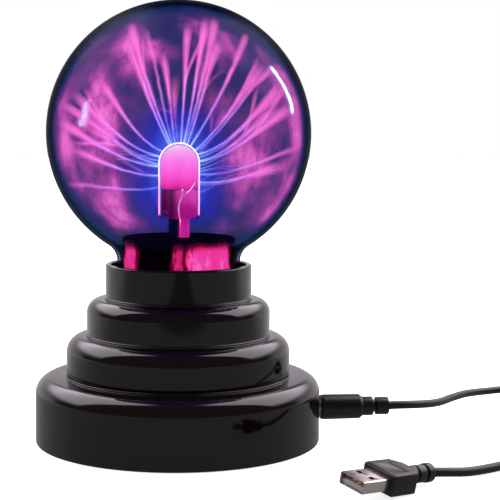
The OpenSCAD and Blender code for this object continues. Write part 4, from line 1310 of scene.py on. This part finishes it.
class PLASMA_OT_usb_plug(Operator):
    """Model the USB plug: steel shell, tongue, bevelled grip and ringed sleeve"""
    bl_idname = "plasma.usb_plug"
    bl_label = "USB plug"

    def execute(self, context):
        self.place = Matrix.Translation(Vector(USB_NOSE) * MM) @ Euler(
            [math.radians(a) for a in USB_TURN]).to_matrix().to_4x4()
        colour = tuple(context.scene.lead_settings.colour)
        finish = plain_finish("usb_moulded_black", colour, tuple(c * 1.8 for c in colour),
                              0.36, scale=1100, bump=0.14, depth=0.0001, specular=0.5)
        self.grip(finish)
        self.relief(finish)
        self.shell()
        self.tongue()
        return {"FINISHED"}

    def grip(self, finish):
        grip = block("usb_grip", (USB_L, -GRIP_W / 2, -GRIP_T / 2),
                     (USB_L + GRIP_L, GRIP_W / 2, GRIP_T / 2))
        edit()
        tail = (USB_L + GRIP_L) * MM
        pick("faces", lambda f: f.normal.x > 0.9)
        bpy.ops.mesh.extrude_region_move(
            TRANSFORM_OT_translate={"value": (GRIP_TAPER_L * MM, 0, 0)})
        bpy.ops.transform.resize(value=(1, 7.6 / GRIP_W, 6.6 / GRIP_T),
                                 center_override=(tail, 0, 0))
        pick("faces", lambda f: f.normal.z > 0.9 and f.calc_center_median().x < tail)
        bpy.ops.mesh.inset(thickness=2.6 * MM, depth=0)
        bpy.ops.mesh.inset(thickness=0.25 * MM, depth=-0.25 * MM)
        done()
        bevelled(grip, 0.85, 5, 50)
        apply_place(grip, self.place)
        smooth(grip, 40)
        fit(grip, "lead", "plug_pvc", finish, "usb_plug_body")

    def relief(self, finish):
        relief = turned("usb_relief", rounded((
            (1.2, 0, 0), (3.3, 0, 0.2), (3.3, 1.7, 0.25), (2.7, 1.9, 0.1), (2.7, 2.4, 0.1),
            (3.3, 2.6, 0.25), (3.3, 6.4, 0.3), (2.6, 6.6, 0.15), (2.6, 7.1, 0.15),
            (3.55, 7.3, 0.3), (3.55, USB_RELIEF_L, 0.5), (1.9, USB_RELIEF_L, 0.15),
            (1.75, USB_RELIEF_L - 1, 0), (1.2, USB_RELIEF_L - 1, 0), (1.2, 0, 0))), 128)
        lay_along_x(relief, USB_L + GRIP_L + GRIP_TAPER_L, 0)
        apply_place(relief, self.place)
        fit(relief, "lead", "plug_pvc", finish, "usb_plug_relief")

    def shell(self):
        shell = block("usb_shell", (0, -USB_W / 2, -USB_T / 2), (USB_L + 4, USB_W / 2, USB_T / 2))
        edit()
        pick("edges", lambda e: abs((e.verts[0].co - e.verts[1].co).x) > 0.01)
        bpy.ops.mesh.bevel(offset=0.75 * MM, segments=6, affect="EDGES")
        pick("faces", lambda f: abs(f.normal.x) > 0.9)
        bpy.ops.mesh.delete(type="FACE")
        done()
        bpy.ops.object.modifier_add(type="SOLIDIFY")
        shell.modifiers[-1].thickness = USB_WALL * MM
        shell.modifiers[-1].offset = -1
        bpy.ops.object.modifier_apply(modifier=shell.modifiers[-1].name)
        for y in (-3, 3):
            cut_with(shell, block("window_cutter", (5.2, y - 1.25, -USB_T), (7.4, y + 1.25, USB_T)))
        bevelled(shell, 0.07, 2, 40)
        apply_place(shell, self.place)
        smooth(shell, 35)
        n = Nodes("usb_bright_steel")
        turned_place = n.add("ShaderNodeMapping", {
            "Vector": n.place, "Rotation": (0, 0, math.radians(-USB_TURN[2])),
            "Scale": (0.06, 1, 1)}).outputs[0]
        brushed = n.add("ShaderNodeTexNoise", {
            "Vector": turned_place, "Scale": 2600, "Detail": 4}).outputs["Fac"]
        smear = n.noise(220, 3)
        n.set(base_color=n.mix(smear, (0.62, 0.52, 0.5), (0.74, 0.65, 0.62)), metallic=1.0,
              roughness=n.span(brushed, 0.3, 0.7, 0.2, 0.32))
        n.bump(brushed, 0.06, 0.00005)
        fit(shell, "lead", "usb_steel", n.material, "usb_plug_shell")

    def tongue(self):
        side = USB_W / 2 - USB_WALL - 0.05
        low = -USB_T / 2 + USB_WALL + 0.05
        tongue = block("usb_tongue", (0.8, -side, low), (USB_L + 3.8, side, low + 1.75))
        bevelled(tongue, 0.3, 3)
        apply_place(tongue, self.place)
        smooth(tongue)
        fit(tongue, "lead", "tongue_plastic",
            plain_finish("tongue_white", (0.62, 0.6, 0.6), (0.55, 0.53, 0.53), 0.35,
                         scale=500, bump=0.05), "usb_plug_tongue")


# ---------- parts carried over ----------

class PLASMA_OT_carried_parts(Operator):
    """Give every part that keeps its own shape its finish"""
    bl_idname = "plasma.carried_parts"
    bl_label = "Carried-over parts"

    def execute(self, context):
        black, soot = (0.012, 0.012, 0.013), (0.022, 0.022, 0.024)
        moulded = plain_finish("moulded_black", black, soot, 0.38, scale=900, bump=0.2)
        grainy = plain_finish("plate_grained_black", black, soot, 0.55, scale=1500, bump=0.5)
        rubber = plain_finish("rubber_matt", (0.01, 0.01, 0.01), (0.02, 0.02, 0.02), 0.8,
                              scale=1200, bump=0.4, specular=0.3)
        steel = plain_finish("screw_steel", (0.5, 0.5, 0.5), (0.36, 0.36, 0.37), 0.32,
                             scale=1600, bump=0.15, metallic=1.0)
        plated = plain_finish("nickel_plated", (0.75, 0.72, 0.68), (0.6, 0.58, 0.55), 0.2,
                              scale=1500, bump=0.08, metallic=1.0)
        chip = plain_finish("chip_epoxy", black, soot, 0.5, scale=1800, bump=0.3)
        copper = banded_finish("wound_copper", (0.75, 0.28, 0.1), (0.25, 0.07, 0.02), 0.3,
                               0.35, "Z", 0.8)
        finishes = {
            "bottom_plate": grainy, "rubber_feet": rubber, "base_screws": steel,
            "tower_screws": steel, "board_screws": steel, "transistor_screw": steel,
            "exhaust_tip": plain_finish("tip_smoked_glass", (0.02, 0.01, 0.03),
                                        (0.05, 0.02, 0.06), 0.08, scale=200, bump=0.1),
            "contact_rod": banded_finish("rod_brass", (0.78, 0.56, 0.24), (0.5, 0.34, 0.12),
                                         0.25, 0.2, "Z", 1.0),
            # The stem's sleeve carries painted pink light from the gas on one side of its foot
            "stem_insulator": sleeve_finish_painted_glow(),
            "neck_gasket": plain_finish("gasket_foam", (0.006, 0.006, 0.006),
                                        (0.018, 0.018, 0.018), 0.9, scale=1300, bump=0.9,
                                        depth=0.0003),
            "globe_adhesive": plain_finish("silicone_milky", (0.6, 0.58, 0.52),
                                           (0.7, 0.68, 0.62), 0.4, scale=250, bump=0.4),
            "hv_lead": plain_finish("silicone_red", (0.45, 0.02, 0.02), (0.3, 0.01, 0.01),
                                    0.4, scale=900, bump=0.1),
            "circuit_board": board_finish(),
            "flyback_core": plain_finish("ferrite_grey", (0.03, 0.03, 0.034),
                                         (0.06, 0.06, 0.065), 0.55, scale=800, bump=0.6),
            "flyback_bobbin": plain_finish("bobbin_nylon", (0.75, 0.7, 0.56),
                                           (0.66, 0.6, 0.46), 0.45, scale=600, bump=0.2),
            "flyback_secondary": copper, "flyback_primary": copper,
            "driver_transistor": chip, "timer_chip": chip,
            "heat_sink": banded_finish("sink_aluminium", (0.6, 0.61, 0.63),
                                       (0.5, 0.51, 0.53), 0.35, 0.4, "Z", 1.0),
            "input_capacitor": plain_finish("can_sleeve_blue", (0.01, 0.03, 0.16),
                                            (0.02, 0.05, 0.22), 0.3, scale=300, bump=0.15),
            "film_capacitors": plain_finish("film_dipped_red", (0.35, 0.03, 0.02),
                                            (0.24, 0.02, 0.01), 0.28, scale=260, bump=0.4),
            "resistors": resistor_finish(),
            "dc_jack_body": moulded, "dc_jack_pin": plated, "switch_body": moulded,
            "switch_knob": grainy, "dc_plug_insulator": moulded,
            "wire_red": plain_finish("wire_red_pvc", (0.5, 0.03, 0.02), (0.4, 0.02, 0.015),
                                     0.4, scale=1200, bump=0.1),
            "wire_black": plain_finish("wire_black_pvc", black, soot, 0.4, scale=1200,
                                       bump=0.1),
            "usb_contacts": plain_finish("contact_gold", (0.9, 0.62, 0.2), (0.75, 0.5, 0.15),
                                         0.2, scale=1500, bump=0.08, metallic=1.0),
        }
        for name, finish in finishes.items():
            for slot in frame["nodes"][name].material_slots:
                slot.material = finish
        return {"FINISHED"}


# ---------- panel ----------

SETTINGS = (("case_settings", CaseSettings), ("plasma_settings", PlasmaSettings),
            ("lead_settings", LeadSettings), ("stage_settings", StageSettings))
OPERATORS = (PLASMA_OT_stage, PLASMA_OT_lead, PLASMA_OT_case, PLASMA_OT_glass,
             PLASMA_OT_plasma, PLASMA_OT_base_plug, PLASMA_OT_usb_plug,
             PLASMA_OT_carried_parts)


class PLASMA_PT_panel(Panel):
    """Lists the ball's sizes and colours and the pieces that can be made"""
    bl_label = "Plasma Ball"
    bl_space_type = "VIEW_3D"
    bl_region_type = "UI"
    bl_category = "Plasma Ball"

    def draw(self, context):
        for name, group in SETTINGS:
            box = self.layout.box()
            for key in group.__annotations__:
                box.prop(getattr(context.scene, name), key)
        for operator in OPERATORS:
            self.layout.operator(operator.bl_idname)


CLASSES = tuple(group for _, group in SETTINGS) + OPERATORS + (PLASMA_PT_panel,)


def register():
    for cls in CLASSES:
        bpy.utils.register_class(cls)
    for name, group in SETTINGS:
        setattr(bpy.types.Scene, name, PointerProperty(type=group))


def unregister():
    for name, _ in SETTINGS:
        delattr(bpy.types.Scene, name)
    for cls in reversed(CLASSES):
        bpy.utils.unregister_class(cls)


def main():
    register()
    bpy.ops.plasma.stage()
    bpy.ops.plasma.lead()
    bpy.ops.plasma.case()
    bpy.ops.plasma.glass()
    bpy.ops.plasma.plasma()
    bpy.ops.plasma.base_plug()
    bpy.ops.plasma.usb_plug()
    bpy.ops.plasma.carried_parts()
    clear_selection()
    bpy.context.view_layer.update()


if __name__ == "__main__":
    main()
